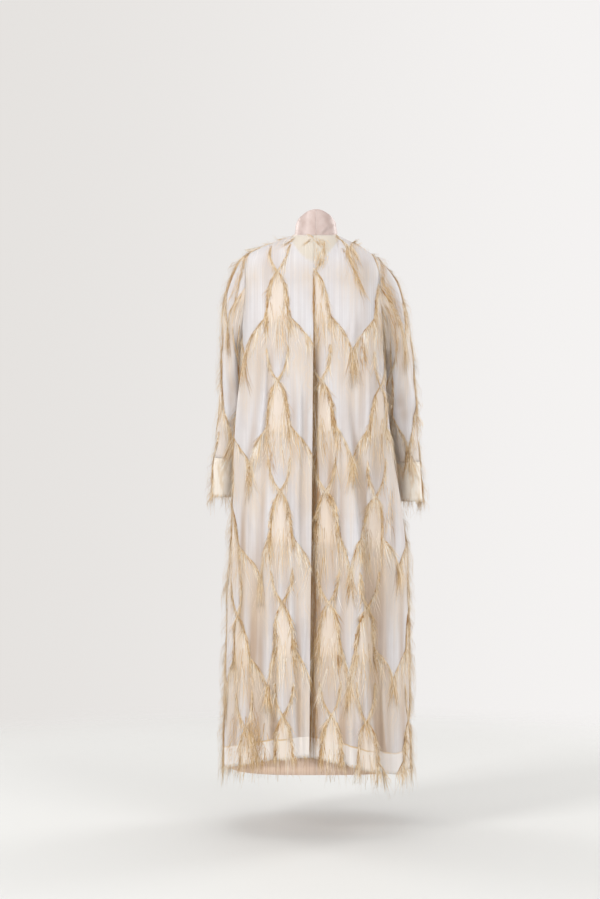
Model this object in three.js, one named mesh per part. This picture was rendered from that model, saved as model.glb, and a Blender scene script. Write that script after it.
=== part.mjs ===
// An open abaya of fringed organza over a plain lining, in the hollow form that it takes when it is worn.
// Millimetres, +Z up. The front faces -Y and the wearer's left is +X.
// The origin is the centre of the neck seam, where the wearer carries the garment.
// Every panel is a thin wall on one shared body surface, so seams that meet share their curves.

import * as THREE from "three";

// Cloth
const clothWall = 1.2;
const liningWall = 1;
const doubleWall = 2; // two layers sewn together, as in a collar or a cuff
const seamGap = 0.3;

// Lengths measured down from the neck seam
const yokeDown = 130; // where the shoulders have rounded over into the hanging body
const underarmDown = 310;
const hemDown = { sides: 1388, centreBack: 1338, centreFront: 1388 };
const hemRun = { left: 1, right: 1.35 }; // how soon the back hem comes down from its centre to each side
const liningHemDown = 1386;
const hemBandDepth = 55;
const fringeReach = 46;

// Neck and shoulders
const neck = { halfWidth: 59, halfDepth: 57, dropBack: 3, dropFront: 45 };
const neckShare = 0.4; // part of a panel's top edge that lies on the neckline, the rest is shoulder seam
const seamY = -6; // the side seams lie a little forward of the neck's centre
const tip = {
  left: { across: 186, down: 49 },
  right: { across: 157, down: 53 },
};
const armhole = { halfHeight: 130, halfDepth: 66, middleDown: 180 };

// Horizontal sections of the body. Across is the half width to each side, depth is from the seam plane.
const sections = [
  { down: 130, left: 196, right: 174, back: 116, front: 104, armDent: 0 },
  { down: 220, left: 201, right: 182, back: 134, front: 120, armDent: 6 },
  { down: 310, left: 206, right: 188, back: 146, front: 130, armDent: 26 },
  { down: 455, left: 222, right: 200, back: 158, front: 138, armDent: 48 },
  { down: 570, left: 228, right: 212, back: 166, front: 143, armDent: 44 },
  { down: 690, left: 228, right: 230, back: 174, front: 148, armDent: 28 },
  { down: 790, left: 226, right: 239, back: 180, front: 152, armDent: 12 },
  { down: 900, left: 229, right: 241, back: 186, front: 156, armDent: 0 },
  { down: 1100, left: 235, right: 243, back: 197, front: 162, armDent: 0 },
  { down: 1450, left: 244, right: 252, back: 216, front: 172, armDent: 0 },
];
const sectionRoundness = 2.8; // 2 is an ellipse, more is boxier
const dentHalfDepth = 96; // how far the hollow beside the arm runs to front and back
const foldZone = { from: 0.35, to: 0.85 }; // folds fade in between these shares of the section's depth

// Folds that stand out from the hanging cloth: a crest line from top to bottom, its height and its two slopes.
// Across is positive to the wearer's left.
const backFolds = [
  { top: 380, bottom: 1450, acrossTop: -74, acrossBottom: -156, height: 24, toLeft: 74, toRight: 11 },
  { top: 1060, bottom: 1450, acrossTop: -84, acrossBottom: -84, height: 20, toLeft: 9, toRight: 40 },
  { top: 900, bottom: 1450, acrossTop: 99, acrossBottom: 92, height: 18, toLeft: 10, toRight: 60 },
  { top: 420, bottom: 1300, acrossTop: 150, acrossBottom: 186, height: 10, toLeft: 22, toRight: 34 },
  { top: 560, bottom: 1450, acrossTop: 122, acrossBottom: 128, height: 8, toLeft: 16, toRight: 22 },
  { top: 700, bottom: 1450, acrossTop: -196, acrossBottom: -206, height: 12, toLeft: 30, toRight: 26 },
];
const frontFolds = [
  { top: 330, bottom: 1450, acrossTop: 52, acrossBottom: 74, height: 20, toLeft: 30, toRight: 34 },
  { top: 420, bottom: 1450, acrossTop: 118, acrossBottom: 150, height: 18, toLeft: 26, toRight: 32 },
  { top: 360, bottom: 1450, acrossTop: -46, acrossBottom: -60, height: 18, toLeft: 32, toRight: 26 },
  { top: 500, bottom: 1450, acrossTop: -112, acrossBottom: -138, height: 22, toLeft: 34, toRight: 28 },
];
const foldFadeIn = 320; // length over which a fold rises out of flat cloth

// The centre back pleat: the left half laps over the right half.
const pleat = {
  edgeTop: 6,
  edgeBottom: 20,
  lap: 42,
  lapFrom: 210,
  lapOver: 120,
  depth: 17,
  depthFrom: 130,
  depthOver: 300,
  hollowInside: 4,
  hollowWidth: 46,
};

// The fronts meet at the neck and part a little towards the hem.
const frontParting = { top: 4, bottom: 34 };

// Each row is a ring round the arm: its outer and its inner point, and its half depth.
const sleeveRings = {
  left: [
    { outer: 208, outerDown: 76, inner: 190, innerDown: 315, halfDepth: 66 },
    { outer: 225, outerDown: 110, inner: 192, innerDown: 323, halfDepth: 65 },
    { outer: 238, outerDown: 150, inner: 191, innerDown: 338, halfDepth: 63 },
    { outer: 245, outerDown: 215, inner: 189, innerDown: 366, halfDepth: 60 },
    { outer: 248, outerDown: 300, inner: 187, innerDown: 402, halfDepth: 56 },
    { outer: 250, outerDown: 400, inner: 184, innerDown: 455, halfDepth: 52 },
    { outer: 256, outerDown: 490, inner: 190, innerDown: 512, halfDepth: 50 },
    { outer: 268, outerDown: 582, inner: 204, innerDown: 588, halfDepth: 49 },
    { outer: 277, outerDown: 686, inner: 213, innerDown: 686, halfDepth: 47 },
  ],
  right: [
    { outer: 184, outerDown: 80, inner: 174, innerDown: 315, halfDepth: 66 },
    { outer: 204, outerDown: 106, inner: 178, innerDown: 323, halfDepth: 65 },
    { outer: 222, outerDown: 142, inner: 178, innerDown: 338, halfDepth: 63 },
    { outer: 238, outerDown: 200, inner: 177, innerDown: 368, halfDepth: 60 },
    { outer: 250, outerDown: 292, inner: 176, innerDown: 408, halfDepth: 56 },
    { outer: 260, outerDown: 400, inner: 180, innerDown: 462, halfDepth: 52 },
    { outer: 266, outerDown: 500, inner: 192, innerDown: 524, halfDepth: 50 },
    { outer: 273, outerDown: 592, inner: 209, innerDown: 598, halfDepth: 49 },
    { outer: 282, outerDown: 697, inner: 221, innerDown: 697, halfDepth: 47 },
  ],
};
const armY = -6;
const armholeShare = [1, 0.3, 0.1]; // how much the first rings keep of the armhole's own outline

// The stand collar is tallest at the centre back and leans in a little at its top.
const collar = {
  inset: 1.1,
  heightBack: 68,
  heightSide: 34,
  heightFront: 24,
  topHalfWidth: 47,
  topHalfDepth: 50,
  frontGap: 26,
};

// The facing inside the back neck, as parts of the yoke's depth and of the panel's width.
const facing = { reach: 5 / 12, depthCentre: 0.74, depthEnds: 0.3, inset: 3.2, top: 0.04 };

// The lining hangs clear of the organza's folds: its inset at the neck, the sides and the flat back and front.
// It starts at a share of the yoke's depth, under the facing's edge.
const liningInset = { neck: 8.8, side: 11, flat: 34 };
const liningYokeRows = [0.3, 0.6, 1];
const liningBandDepth = 45; // the lining's doubled hem
const liningBandTop = liningHemDown - liningBandDepth;
const liningBodyRows = [200, 262, 310, 400, 570, 790, 1080, liningBandTop];
const liningHangsOver = 0.9; // rows over which the inset grows to its full size

// Grid of the faceted walls: stations across a panel, and rows down it
const panelColumns = 13;
const yokeRows = [0, 0.2, 0.4, 0.6, 0.8, 1];
const hemBandTop = hemDown.sides - hemBandDepth;
const bodyRows = [175, 220, 262, 292, 310, 350, 400, 470, 560, 650, 740, 840, 950, 1080, 1210, hemBandTop];
const liningColumns = 8;
const collarGrid = { around: 10, up: 2 };
const facingGrid = { across: 10, down: 3 };
const slopeStep = 1e-3; // step of the numerical slopes

const clothRoughness = 0.8;
const satinRoughness = 0.45;
const colours = {
  organza: 0xe6dfd6,
  lining: 0xd9bfa8,
  collar: 0xe6cfc6,
  facing: 0xebe2d8,
  hem: 0xe9e0d4,
  fringe: 0xcbb08c,
};

const clamp01 = (t) => Math.min(1, Math.max(0, t));
const smooth = (t) => clamp01(t) ** 2 * (3 - 2 * clamp01(t));
const mix = THREE.MathUtils.lerp;

// Smooth value of one column of a table whose rows are ordered by "down".
function tableValue(rows, column, down) {
  const last = rows.length - 1;
  let i = rows.findIndex((row) => row.down > down) - 1;
  if (i < -1) i = last - 1;
  i = THREE.MathUtils.clamp(i, 0, last - 1);
  const [a, b] = [rows[i], rows[i + 1]];
  const [before, after] = [rows[Math.max(i - 1, 0)], rows[Math.min(i + 2, last)]];
  const span = b.down - a.down;
  const t = clamp01((down - a.down) / span);
  const slopeA = ((b[column] - before[column]) / (b.down - before.down)) * span;
  const slopeB = ((after[column] - a[column]) / (after.down - a.down)) * span;
  const rise = b[column] - a[column];
  const squared = 3 * rise - 2 * slopeA - slopeB;
  const cubed = slopeA + slopeB - 2 * rise;
  return a[column] + t * slopeA + t * t * squared + t ** 3 * cubed;
}

// A point of the smooth hanging body. The angle is 0 at the side seam and a quarter turn at the centre.
function sectionPoint(side, face, angle, down) {
  const across = tableValue(sections, side > 0 ? "left" : "right", down);
  const depth = tableValue(sections, face > 0 ? "back" : "front", down);
  const dent = tableValue(sections, "armDent", down);
  const [c, s] = [Math.cos(angle), Math.sin(angle)];
  const n = sectionRoundness;
  const reach = ((Math.abs(c) / across) ** n + (Math.abs(s) / depth) ** n) ** (-1 / n);
  const y = reach * s;
  const hollow = dent * Math.cos((Math.PI / 2) * clamp01(Math.abs(y) / dentHalfDepth)) ** 2;
  return new THREE.Vector3(side * (reach * c - hollow), seamY + face * y, -down);
}

// Angle at which the armhole's edge cuts the section: it closes to the side seam at the underarm.
function armholeAngle(side, down) {
  if (down >= underarmDown) return 0;
  const across = tableValue(sections, side > 0 ? "left" : "right", down);
  const rise = clamp01(Math.abs(down - armhole.middleDown) / armhole.halfHeight);
  return Math.asin((armhole.halfDepth * Math.sqrt(1 - rise * rise)) / across);
}

// Where a panel begins beside the centre line, as x to the panel's own side.
function centreEdge(side, face, down) {
  if (face < 0) return mix(frontParting.top, frontParting.bottom, clamp01(down / hemDown.centreFront)) / 2;
  const fold = mix(pleat.edgeTop, pleat.edgeBottom, clamp01(down / hemDown.centreBack));
  if (side > 0) return fold;
  return -fold - pleat.lap * smooth((down - pleat.lapFrom) / pleat.lapOver);
}

// How far the right half lies under the left half's fold edge.
function pleatDepth(x, down) {
  const open = smooth((down - pleat.depthFrom) / pleat.depthOver);
  const edge = mix(pleat.edgeTop, pleat.edgeBottom, clamp01(down / hemDown.centreBack));
  return pleat.depth * open * smooth(1 - (edge - pleat.hollowInside - x) / pleat.hollowWidth);
}

function foldHeight(folds, x, down) {
  let height = 0;
  for (const fold of folds) {
    const along = (down - fold.top) / (fold.bottom - fold.top);
    const crest = mix(fold.acrossTop, fold.acrossBottom, along);
    const slope = x > crest ? fold.toLeft : fold.toRight;
    const profile = smooth(1 - Math.abs(x - crest) / slope);
    height = Math.max(height, fold.height * smooth((down - fold.top) / foldFadeIn) * profile);
  }
  return height;
}

// A point of a panel's top edge: the neckline first, then the shoulder seam out to the tip.
function topEdgePoint(side, face, u) {
  if (u < neckShare) {
    const turn = (u / neckShare) * (Math.PI / 2);
    const drop = (face > 0 ? neck.dropBack : neck.dropFront) * Math.cos(turn) ** 2;
    const [x, y] = [neck.halfWidth * Math.sin(turn), neck.halfDepth * Math.cos(turn)];
    return new THREE.Vector3(side * x, face * y, -drop);
  }
  const end = side > 0 ? tip.left : tip.right;
  const t = (u - neckShare) / (1 - neckShare);
  return new THREE.Vector3(side * mix(neck.halfWidth, end.across, t), seamY * t, -end.down * t ** 1.2);
}

function bodyPoint(side, face, u, down, folded) {
  const startX = centreEdge(side, face, down);
  const depth = tableValue(sections, face > 0 ? "back" : "front", down);
  const centreAngle = folded || face < 0 ? Math.atan2(depth, startX) : Math.PI / 2;
  const p = sectionPoint(side, face, mix(centreAngle, armholeAngle(side, down), u), down);
  if (!folded) return p;
  const flatness = smooth((Math.abs(p.y - seamY) / depth - foldZone.from) / (foldZone.to - foldZone.from));
  p.y += face * flatness * foldHeight(face > 0 ? backFolds : frontFolds, p.x, down);
  if (face > 0 && side < 0) p.y -= pleatDepth(p.x, down);
  return p;
}

// The whole panel surface: v runs 0 to 1 over the yoke and 1 to 2 down to the hem.
function panelPoint(side, face, u, v, folded = true, bottom = null) {
  if (v >= 1) {
    const centre = face > 0 ? hemDown.centreBack : hemDown.centreFront;
    const hem = bottom ?? mix(centre, hemDown.sides, smooth(u * (side > 0 ? hemRun.left : hemRun.right)));
    return bodyPoint(side, face, u, mix(yokeDown, hem, v - 1), folded);
  }
  const from = topEdgePoint(side, face, u);
  const to = bodyPoint(side, face, u, yokeDown, folded);
  if (u < neckShare) from.x += (face > 0 ? 1 : 0.5) * to.x * (1 - u / neckShare) ** 2;
  const turn = v * (Math.PI / 2);
  return new THREE.Vector3(
    mix(from.x, to.x, Math.sin(turn)),
    mix(from.y, to.y, Math.sin(turn)),
    mix(from.z, to.z, 1 - Math.cos(turn)),
  );
}

// Outward normal of a surface, from its slopes either way.
function normalAt(surface, u, v, flip) {
  const across = surface(u + slopeStep, v).sub(surface(u - slopeStep, v));
  const along = surface(u, v + slopeStep).sub(surface(u, v - slopeStep));
  return across.cross(along).normalize().multiplyScalar(flip);
}

// A closed wall between two depths under a surface. Columns and rows are the stations of its grid.
function wall(surface, columns, rows, { outer = 0, thickness, flip = 1, ring = false }) {
  const skins = [outer, outer + thickness].map((depth) =>
    rows.map((v) =>
      columns.map((u) => surface(u, v).addScaledVector(normalAt(surface, u, v, flip), -depth)),
    ),
  );
  const [across, down] = [columns.length, rows.length];
  const index = (skin, r, c) => (skin * down + r) * across + (c % across);
  const triangles = [];
  const quad = (a, b, c, d) => triangles.push(a, b, c, a, c, d);
  const steps = ring ? across : across - 1;
  for (let r = 0; r < down - 1; r++) {
    for (let c = 0; c < steps; c++) {
      quad(index(0, r, c), index(0, r, c + 1), index(0, r + 1, c + 1), index(0, r + 1, c));
      quad(index(1, r, c), index(1, r + 1, c), index(1, r + 1, c + 1), index(1, r, c + 1));
    }
  }
  for (let c = 0; c < steps; c++) {
    quad(index(0, 0, c), index(1, 0, c), index(1, 0, c + 1), index(0, 0, c + 1));
    const end = down - 1;
    quad(index(0, end, c), index(0, end, c + 1), index(1, end, c + 1), index(1, end, c));
  }
  for (let r = 0; r < down - 1 && !ring; r++) {
    const end = across - 1;
    quad(index(0, r, 0), index(0, r + 1, 0), index(1, r + 1, 0), index(1, r, 0));
    quad(index(0, r, end), index(1, r, end), index(1, r + 1, end), index(0, r + 1, end));
  }
  const geometry = new THREE.BufferGeometry();
  const positions = skins.flat(2).flatMap((point) => point.toArray());
  geometry.setAttribute("position", new THREE.Float32BufferAttribute(positions, 3));
  geometry.setIndex(flip < 0 ? triangles.reverse() : triangles);
  return geometry;
}

function steps(count, from = 0, to = 1) {
  return Array.from({ length: count + 1 }, (_, i) => mix(from, to, i / count));
}

function addMesh(group, name, geometry, colour, roughness = clothRoughness) {
  geometry.computeVertexNormals();
  const material = new THREE.MeshStandardMaterial({ color: colour, roughness, metalness: 0 });
  const mesh = new THREE.Mesh(geometry, material);
  mesh.name = name;
  group.add(mesh);
}

const abaya = new THREE.Group();
const sides = [
  { name: "left", side: 1 },
  { name: "right", side: -1 },
];
const faces = [
  { name: "back", face: 1 },
  { name: "front", face: -1 },
];
const rowShare = (down, bottom = hemDown.sides) => 1 + (down - yokeDown) / (bottom - yokeDown);
const panelRows = [...yokeRows, ...bodyRows.map((down) => rowShare(down)), 2];
const hemShare = rowShare(hemBandTop);
const fringeShare = rowShare(hemDown.sides + fringeReach);
const hemGapShare = rowShare(hemDown.sides + seamGap);

// Four organza panels, their turned-up hems and the reach of the fringe below them.
function addBody(group) {
  for (const { name: faceName, face } of faces) {
    for (const { name: sideName, side } of sides) {
      const offset = new THREE.Vector3((side * seamGap) / 2, (face * seamGap) / 2, 0);
      const surface = (u, v) => panelPoint(side, face, u, v).add(offset);
      const columns = steps(panelColumns - 1);
      const name = `${faceName}_${sideName}`;
      const flip = side * face;
      const panel = wall(surface, columns, panelRows, { thickness: clothWall, flip });
      addMesh(group, name, panel, colours.organza);
      const outer = clothWall + 2 * seamGap;
      const band = wall(surface, columns, [hemShare, 2], { outer, thickness: clothWall, flip });
      addMesh(group, `hem_${name}`, band, colours.hem);
      const fringe = wall(surface, columns, [hemGapShare, fringeShare], { thickness: doubleWall, flip });
      addMesh(group, `fringe_${name}`, fringe, colours.fringe);
    }
  }
}

// Ring of the armhole's edge, from the shoulder tip down the back to the underarm and up the front.
// A sleeve has a column at each of the panel's rows there, so the two edges have the same facets.
const armholeBodyRows = bodyRows.filter((down) => down <= underarmDown);
const armholeRows = [...yokeRows, ...armholeBodyRows.map((down) => rowShare(down))];
const sleeveColumns = 2 * (armholeRows.length - 1);

function armholePoint(side, turn) {
  const face = turn <= 0.5 ? 1 : -1;
  const station = Math.min(turn, 1 - turn) * sleeveColumns;
  const i = Math.min(Math.floor(station), armholeRows.length - 2);
  return panelPoint(side, face, 1, mix(armholeRows[i], armholeRows[i + 1], station - i));
}

function ringPoint(side, ring, turn) {
  const angle = turn * 2 * Math.PI;
  const outer = new THREE.Vector3(ring.outer, armY, -ring.outerDown);
  const inner = new THREE.Vector3(ring.inner, armY, -ring.innerDown);
  const middle = outer.clone().lerp(inner, 0.5);
  const reach = outer.sub(middle);
  const point = middle.addScaledVector(reach, Math.cos(angle));
  point.y += ring.halfDepth * Math.sin(angle);
  point.x *= side;
  return point;
}

// The sleeve from the armhole (v = 0) down to the wrist. Each whole step of v is one ring of the table.
function sleevePoint(side, turn, v) {
  const rings = sleeveRings[side > 0 ? "left" : "right"];
  const level = THREE.MathUtils.clamp(v, 0, rings.length);
  const upper = Math.min(Math.floor(level), rings.length - 1);
  const at = (k) => {
    const wrapped = ((turn % 1) + 1) % 1;
    const start = armholePoint(side, wrapped);
    start.x += side * (seamGap + clothWall);
    return k === 0 ? start : ringPoint(side, rings[k - 1], wrapped).lerp(start, armholeShare[k] ?? 0);
  };
  return at(upper).lerp(at(upper + 1), v - upper);
}

function addSleeves(group) {
  const cuffStart = sleeveRings.left.length - 1;
  const cuffEnd = cuffStart + 1;
  const cuffGap = 0.004; // gap above the cuff, as a share of the ring spacing
  const columns = steps(sleeveColumns).slice(0, -1);
  for (const { name, side } of sides) {
    const surface = (u, v) => sleevePoint(side, u, v);
    const below = (u, v) => surface(u, cuffEnd).add(new THREE.Vector3(0, 0, -mix(seamGap, fringeReach, v)));
    const single = { flip: -side, ring: true, thickness: clothWall };
    const double = { ...single, thickness: doubleWall };
    const sleeveRows = steps(cuffStart, 0, cuffStart - cuffGap);
    addMesh(group, `sleeve_${name}`, wall(surface, columns, sleeveRows, single), colours.organza);
    addMesh(group, `cuff_${name}`, wall(surface, columns, [cuffStart, cuffEnd], double), colours.hem);
    addMesh(group, `fringe_cuff_${name}`, wall(below, columns, [0, 1], double), colours.fringe);
  }
}

// The collar stands just inside the neckline. Turn runs from the centre back to the front edge.
function collarPoint(side, turn, rise) {
  const frontAngle = Math.acos((collar.frontGap / 2) / neck.halfWidth) + Math.PI / 2;
  const angle = turn * frontAngle;
  const [s, c] = [Math.sin(angle), Math.cos(angle)];
  const heightAhead = c > 0 ? collar.heightBack : collar.heightFront;
  const height = mix(collar.heightSide, heightAhead, Math.abs(c) ** 1.5);
  const lean = rise * (height / collar.heightBack);
  const drop = (c > 0 ? neck.dropBack : neck.dropFront) * c * c;
  const base = -drop - clothWall;
  return new THREE.Vector3(
    side * (mix(neck.halfWidth - collar.inset, collar.topHalfWidth, lean) * s + seamGap / 2),
    mix(neck.halfDepth - collar.inset, collar.topHalfDepth, lean) * c,
    base + (height + clothWall) * rise,
  );
}

function addCollar(group) {
  for (const { name, side } of sides) {
    const surface = (u, v) => collarPoint(side, u, 1 - v);
    const [around, up] = [steps(collarGrid.around), steps(collarGrid.up)];
    const geometry = wall(surface, around, up, { thickness: doubleWall, flip: side });
    addMesh(group, `collar_${name}`, geometry, colours.collar, satinRoughness);
  }
}

// The facing lies under the back yoke and is deepest at the centre.
function addFacing(group) {
  const surface = (u, v) => {
    const across = Math.abs(u);
    const depth = mix(facing.depthCentre, facing.depthEnds, (across / facing.reach) ** 2);
    return panelPoint(u < 0 ? -1 : 1, 1, across, mix(facing.top, depth, v));
  };
  const columns = steps(facingGrid.across, -facing.reach, facing.reach);
  const options = { outer: facing.inset, thickness: liningWall };
  const geometry = wall(surface, columns, steps(facingGrid.down), options);
  addMesh(group, "neck_facing", geometry, colours.facing);
}

// The lining hangs inside the organza, without its folds.
function liningPoint(side, face, u, v) {
  const outerAt = (a, b) => panelPoint(side, face, a, b, false, liningHemDown);
  const flat = Math.min(1, v) * Math.sin((1 - clamp01(u)) * (Math.PI / 2)) ** 2;
  const hang = smooth((v - liningYokeRows[0]) / liningHangsOver);
  const inset = mix(liningInset.neck, mix(liningInset.side, liningInset.flat, flat), hang);
  return outerAt(u, v).addScaledVector(normalAt(outerAt, u, v, side * face), -inset);
}

function addLining(group) {
  const liningShare = (down) => rowShare(down, liningHemDown);
  const rows = [...liningYokeRows, ...liningBodyRows.map(liningShare)];
  const bandRows = [liningShare(liningBandTop + seamGap), liningShare(liningHemDown)];
  for (const { name: faceName, face } of faces) {
    for (const { name: sideName, side } of sides) {
      const offset = new THREE.Vector3((side * seamGap) / 2, (face * seamGap) / 2, 0);
      const surface = (u, v) => liningPoint(side, face, u, v).add(offset);
      const columns = steps(liningColumns);
      const geometry = wall(surface, columns, rows, { thickness: liningWall, flip: side * face });
      addMesh(group, `lining_${faceName}_${sideName}`, geometry, colours.lining);
      const band = wall(surface, columns, bandRows, { thickness: doubleWall, flip: side * face });
      addMesh(group, `lining_hem_${faceName}_${sideName}`, band, colours.lining);
    }
  }
}

addBody(abaya);
addSleeves(abaya);
addCollar(abaya);
addFacing(abaya);
addLining(abaya);

export default abaya;
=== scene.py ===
import math

import bmesh
import bpy
import numpy as np
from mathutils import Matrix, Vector
from mathutils.bvhtree import BVHTree


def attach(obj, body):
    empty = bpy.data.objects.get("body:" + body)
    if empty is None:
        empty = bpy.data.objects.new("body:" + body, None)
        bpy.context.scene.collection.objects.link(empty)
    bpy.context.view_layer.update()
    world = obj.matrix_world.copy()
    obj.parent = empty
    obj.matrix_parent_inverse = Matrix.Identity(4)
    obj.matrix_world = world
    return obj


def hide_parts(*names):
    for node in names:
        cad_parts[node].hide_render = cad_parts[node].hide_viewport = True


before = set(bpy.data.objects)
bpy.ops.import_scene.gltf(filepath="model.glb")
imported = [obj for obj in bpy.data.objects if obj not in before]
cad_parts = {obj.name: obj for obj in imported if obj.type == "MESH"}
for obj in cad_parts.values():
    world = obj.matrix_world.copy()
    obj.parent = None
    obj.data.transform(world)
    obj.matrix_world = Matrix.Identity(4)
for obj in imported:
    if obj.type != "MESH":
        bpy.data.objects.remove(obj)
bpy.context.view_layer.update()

# An open abaya of fringed organza. Tables are in millimetres, meshes in metres, x to the wearer's left, front at -y.
mm = 0.001
rng = np.random.default_rng(20)
sides = {"left": 1, "right": -1}
faces = {"back": 1, "front": -1}


def clamp01(t):
    return np.clip(t, 0.0, 1.0)


def smooth(t):
    t = clamp01(t)
    return t * t * (3 - 2 * t)


def mix(a, b, t):
    return a + (b - a) * t


def table(columns, rows):
    return {name: np.array(values, float) for name, values in zip(columns, zip(*rows))}


def tableValue(rows, column, down):
    # smooth value of one column, whose rows are ordered by "down"
    downs, values = rows["down"], rows[column]
    last = len(downs) - 1
    i = np.clip(np.searchsorted(downs, down, side="right") - 1, 0, last - 1)
    before, after = np.maximum(i - 1, 0), np.minimum(i + 2, last)
    span = downs[i + 1] - downs[i]
    t = clamp01((down - downs[i]) / span)
    slopeA = (values[i + 1] - values[before]) / (downs[i + 1] - downs[before]) * span
    slopeB = (values[after] - values[i]) / (downs[after] - downs[i]) * span
    rise = values[i + 1] - values[i]
    return values[i] + t * slopeA + t**2 * (3 * rise - 2 * slopeA - slopeB) + t**3 * (slopeA + slopeB - 2 * rise)


# The garment's form, the same as the frame's

cut = {
    "yokeDown": 130,
    "underarmDown": 310,
    "hemSides": 1388,
    "hemCentreBack": 1338,
    "hemCentreFront": 1388,
    "hemRunLeft": 1,
    "hemRunRight": 1.35,
    "liningHem": 1386,
    "hemBand": 55,
    "neckHalfWidth": 59,
    "neckHalfDepth": 57,
    "neckDropBack": 3,
    "neckDropFront": 45,
    "neckShare": 0.4,
    "seamY": -6,
    "tipLeft": (186, 49),
    "tipRight": (157, 53),
    "armholeHalfHeight": 130,
    "armholeHalfDepth": 66,
    "armholeMiddle": 180,
    "roundness": 2.8,
    "dentHalfDepth": 96,
    "foldFadeIn": 320,
    "foldFrom": 0.35,
    "foldTo": 0.85,
    "partingTop": 4,
    "partingBottom": 34,
}
sections = table(
    ("down", "left", "right", "back", "front", "armDent"),
    (
        (130, 196, 174, 116, 104, 0),
        (220, 201, 182, 134, 120, 6),
        (310, 206, 188, 146, 130, 26),
        (455, 222, 200, 158, 138, 48),
        (570, 228, 212, 166, 143, 44),
        (690, 228, 230, 174, 148, 28),
        (790, 226, 239, 180, 152, 12),
        (900, 229, 241, 186, 156, 0),
        (1100, 235, 243, 197, 162, 0),
        (1450, 244, 252, 216, 172, 0),
    ),
)
# each fold: top, bottom, across at the top and at the bottom, height, and how far it slopes to the left and right
folds = {
    1: (
        (380, 1450, -74, -156, 24, 74, 11),
        (1060, 1450, -84, -84, 20, 9, 40),
        (900, 1450, 99, 92, 18, 10, 60),
        (420, 1300, 150, 186, 10, 22, 34),
        (560, 1450, 122, 128, 8, 16, 22),
        (700, 1450, -196, -206, 12, 30, 26),
    ),
    -1: (
        (330, 1450, 52, 74, 20, 30, 34),
        (420, 1450, 118, 150, 18, 26, 32),
        (360, 1450, -46, -60, 18, 32, 26),
        (500, 1450, -112, -138, 22, 34, 28),
    ),
}
# small creases between the main folds, in the same columns
creases = {
    1: (
        (330, 900, 48, 40, 7, 12, 9),
        (520, 1400, 62, 58, 8, 10, 14),
        (240, 620, 128, 150, 8, 14, 10),
        (640, 1400, 172, 200, 10, 12, 16),
        (300, 700, -128, -140, 8, 12, 16),
        (460, 1000, -52, -60, 7, 10, 8),
        (820, 1400, -112, -122, 10, 9, 12),
        (200, 420, -96, -84, 5, 12, 14),
        (170, 380, 78, 92, 5, 14, 12),
        (900, 1420, 30, 34, 5, 8, 8),
        (560, 1420, -172, -178, 10, 14, 12),
    ),
    -1: (
        (260, 800, 28, 30, 7, 10, 12),
        (600, 1400, 92, 104, 10, 12, 12),
        (320, 900, 150, 176, 10, 14, 12),
        (700, 1400, -84, -92, 10, 12, 10),
        (300, 760, -150, -170, 8, 14, 12),
        (840, 1400, -176, -190, 10, 12, 14),
    ),
}
pleat = {
    "edgeTop": 6,
    "edgeBottom": 20,
    "lap": 42,
    "lapFrom": 210,
    "lapOver": 120,
    "depth": 17,
    "depthFrom": 130,
    "depthOver": 300,
    "hollowInside": 4,
    "hollowWidth": 46,
    "turnRadius": 1.6,  # the left half turns under along its folded edge
    "turnUnder": 16,
}


def sectionPoint(side, face, angle, down):
    across = tableValue(sections, "left" if side > 0 else "right", down)
    depth = tableValue(sections, "back" if face > 0 else "front", down)
    dent = tableValue(sections, "armDent", down)
    c, s = np.cos(angle), np.sin(angle)
    n = cut["roundness"]
    reach = ((np.abs(c) / across) ** n + (np.abs(s) / depth) ** n) ** (-1 / n)
    y = reach * s
    hollow = dent * np.cos(math.pi / 2 * clamp01(np.abs(y) / cut["dentHalfDepth"])) ** 2
    return np.stack([side * (reach * c - hollow), cut["seamY"] + face * y, -down + 0 * y], -1)


def armholeAngle(side, down):
    across = tableValue(sections, "left" if side > 0 else "right", down)
    rise = clamp01(np.abs(down - cut["armholeMiddle"]) / cut["armholeHalfHeight"])
    angle = np.arcsin(cut["armholeHalfDepth"] * np.sqrt(1 - rise**2) / across)
    return np.where(down >= cut["underarmDown"], 0, angle)


def foldEdge(down):
    return mix(pleat["edgeTop"], pleat["edgeBottom"], clamp01(down / cut["hemCentreBack"]))


def centreEdge(side, face, down):
    if face < 0:
        return mix(cut["partingTop"], cut["partingBottom"], clamp01(down / cut["hemCentreFront"])) / 2
    if side > 0:
        return foldEdge(down)
    return -foldEdge(down) - pleat["lap"] * smooth((down - pleat["lapFrom"]) / pleat["lapOver"])


def pleatDepth(x, down):
    opened = smooth((down - pleat["depthFrom"]) / pleat["depthOver"])
    inside = (foldEdge(down) - pleat["hollowInside"] - x) / pleat["hollowWidth"]
    return pleat["depth"] * opened * smooth(1 - inside)


def foldHeight(rows, x, down, fadeIn):
    height = np.zeros(np.broadcast(x, down).shape)
    for top, bottom, acrossTop, acrossBottom, tall, toLeft, toRight in rows:
        crest = mix(acrossTop, acrossBottom, (down - top) / (bottom - top))
        slope = np.where(x > crest, toLeft, toRight)
        shape = smooth(1 - np.abs(x - crest) / slope) * smooth((down - top) / fadeIn)
        height = np.maximum(height, tall * shape)
    return height


def creaseHeight(rows, x, down):
    height = np.zeros(np.broadcast(x, down).shape)
    for top, bottom, acrossTop, acrossBottom, tall, toLeft, toRight in rows:
        along = (down - top) / (bottom - top)
        crest = mix(acrossTop, acrossBottom, along) + 5 * np.sin(along * 5 + acrossTop)
        slope = np.where(x > crest, toLeft, toRight)
        ends = smooth(along / 0.25) * smooth((1.05 - along) / 0.25)
        height = height + tall * smooth(1 - np.abs(x - crest) / slope) * ends
    return height


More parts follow.
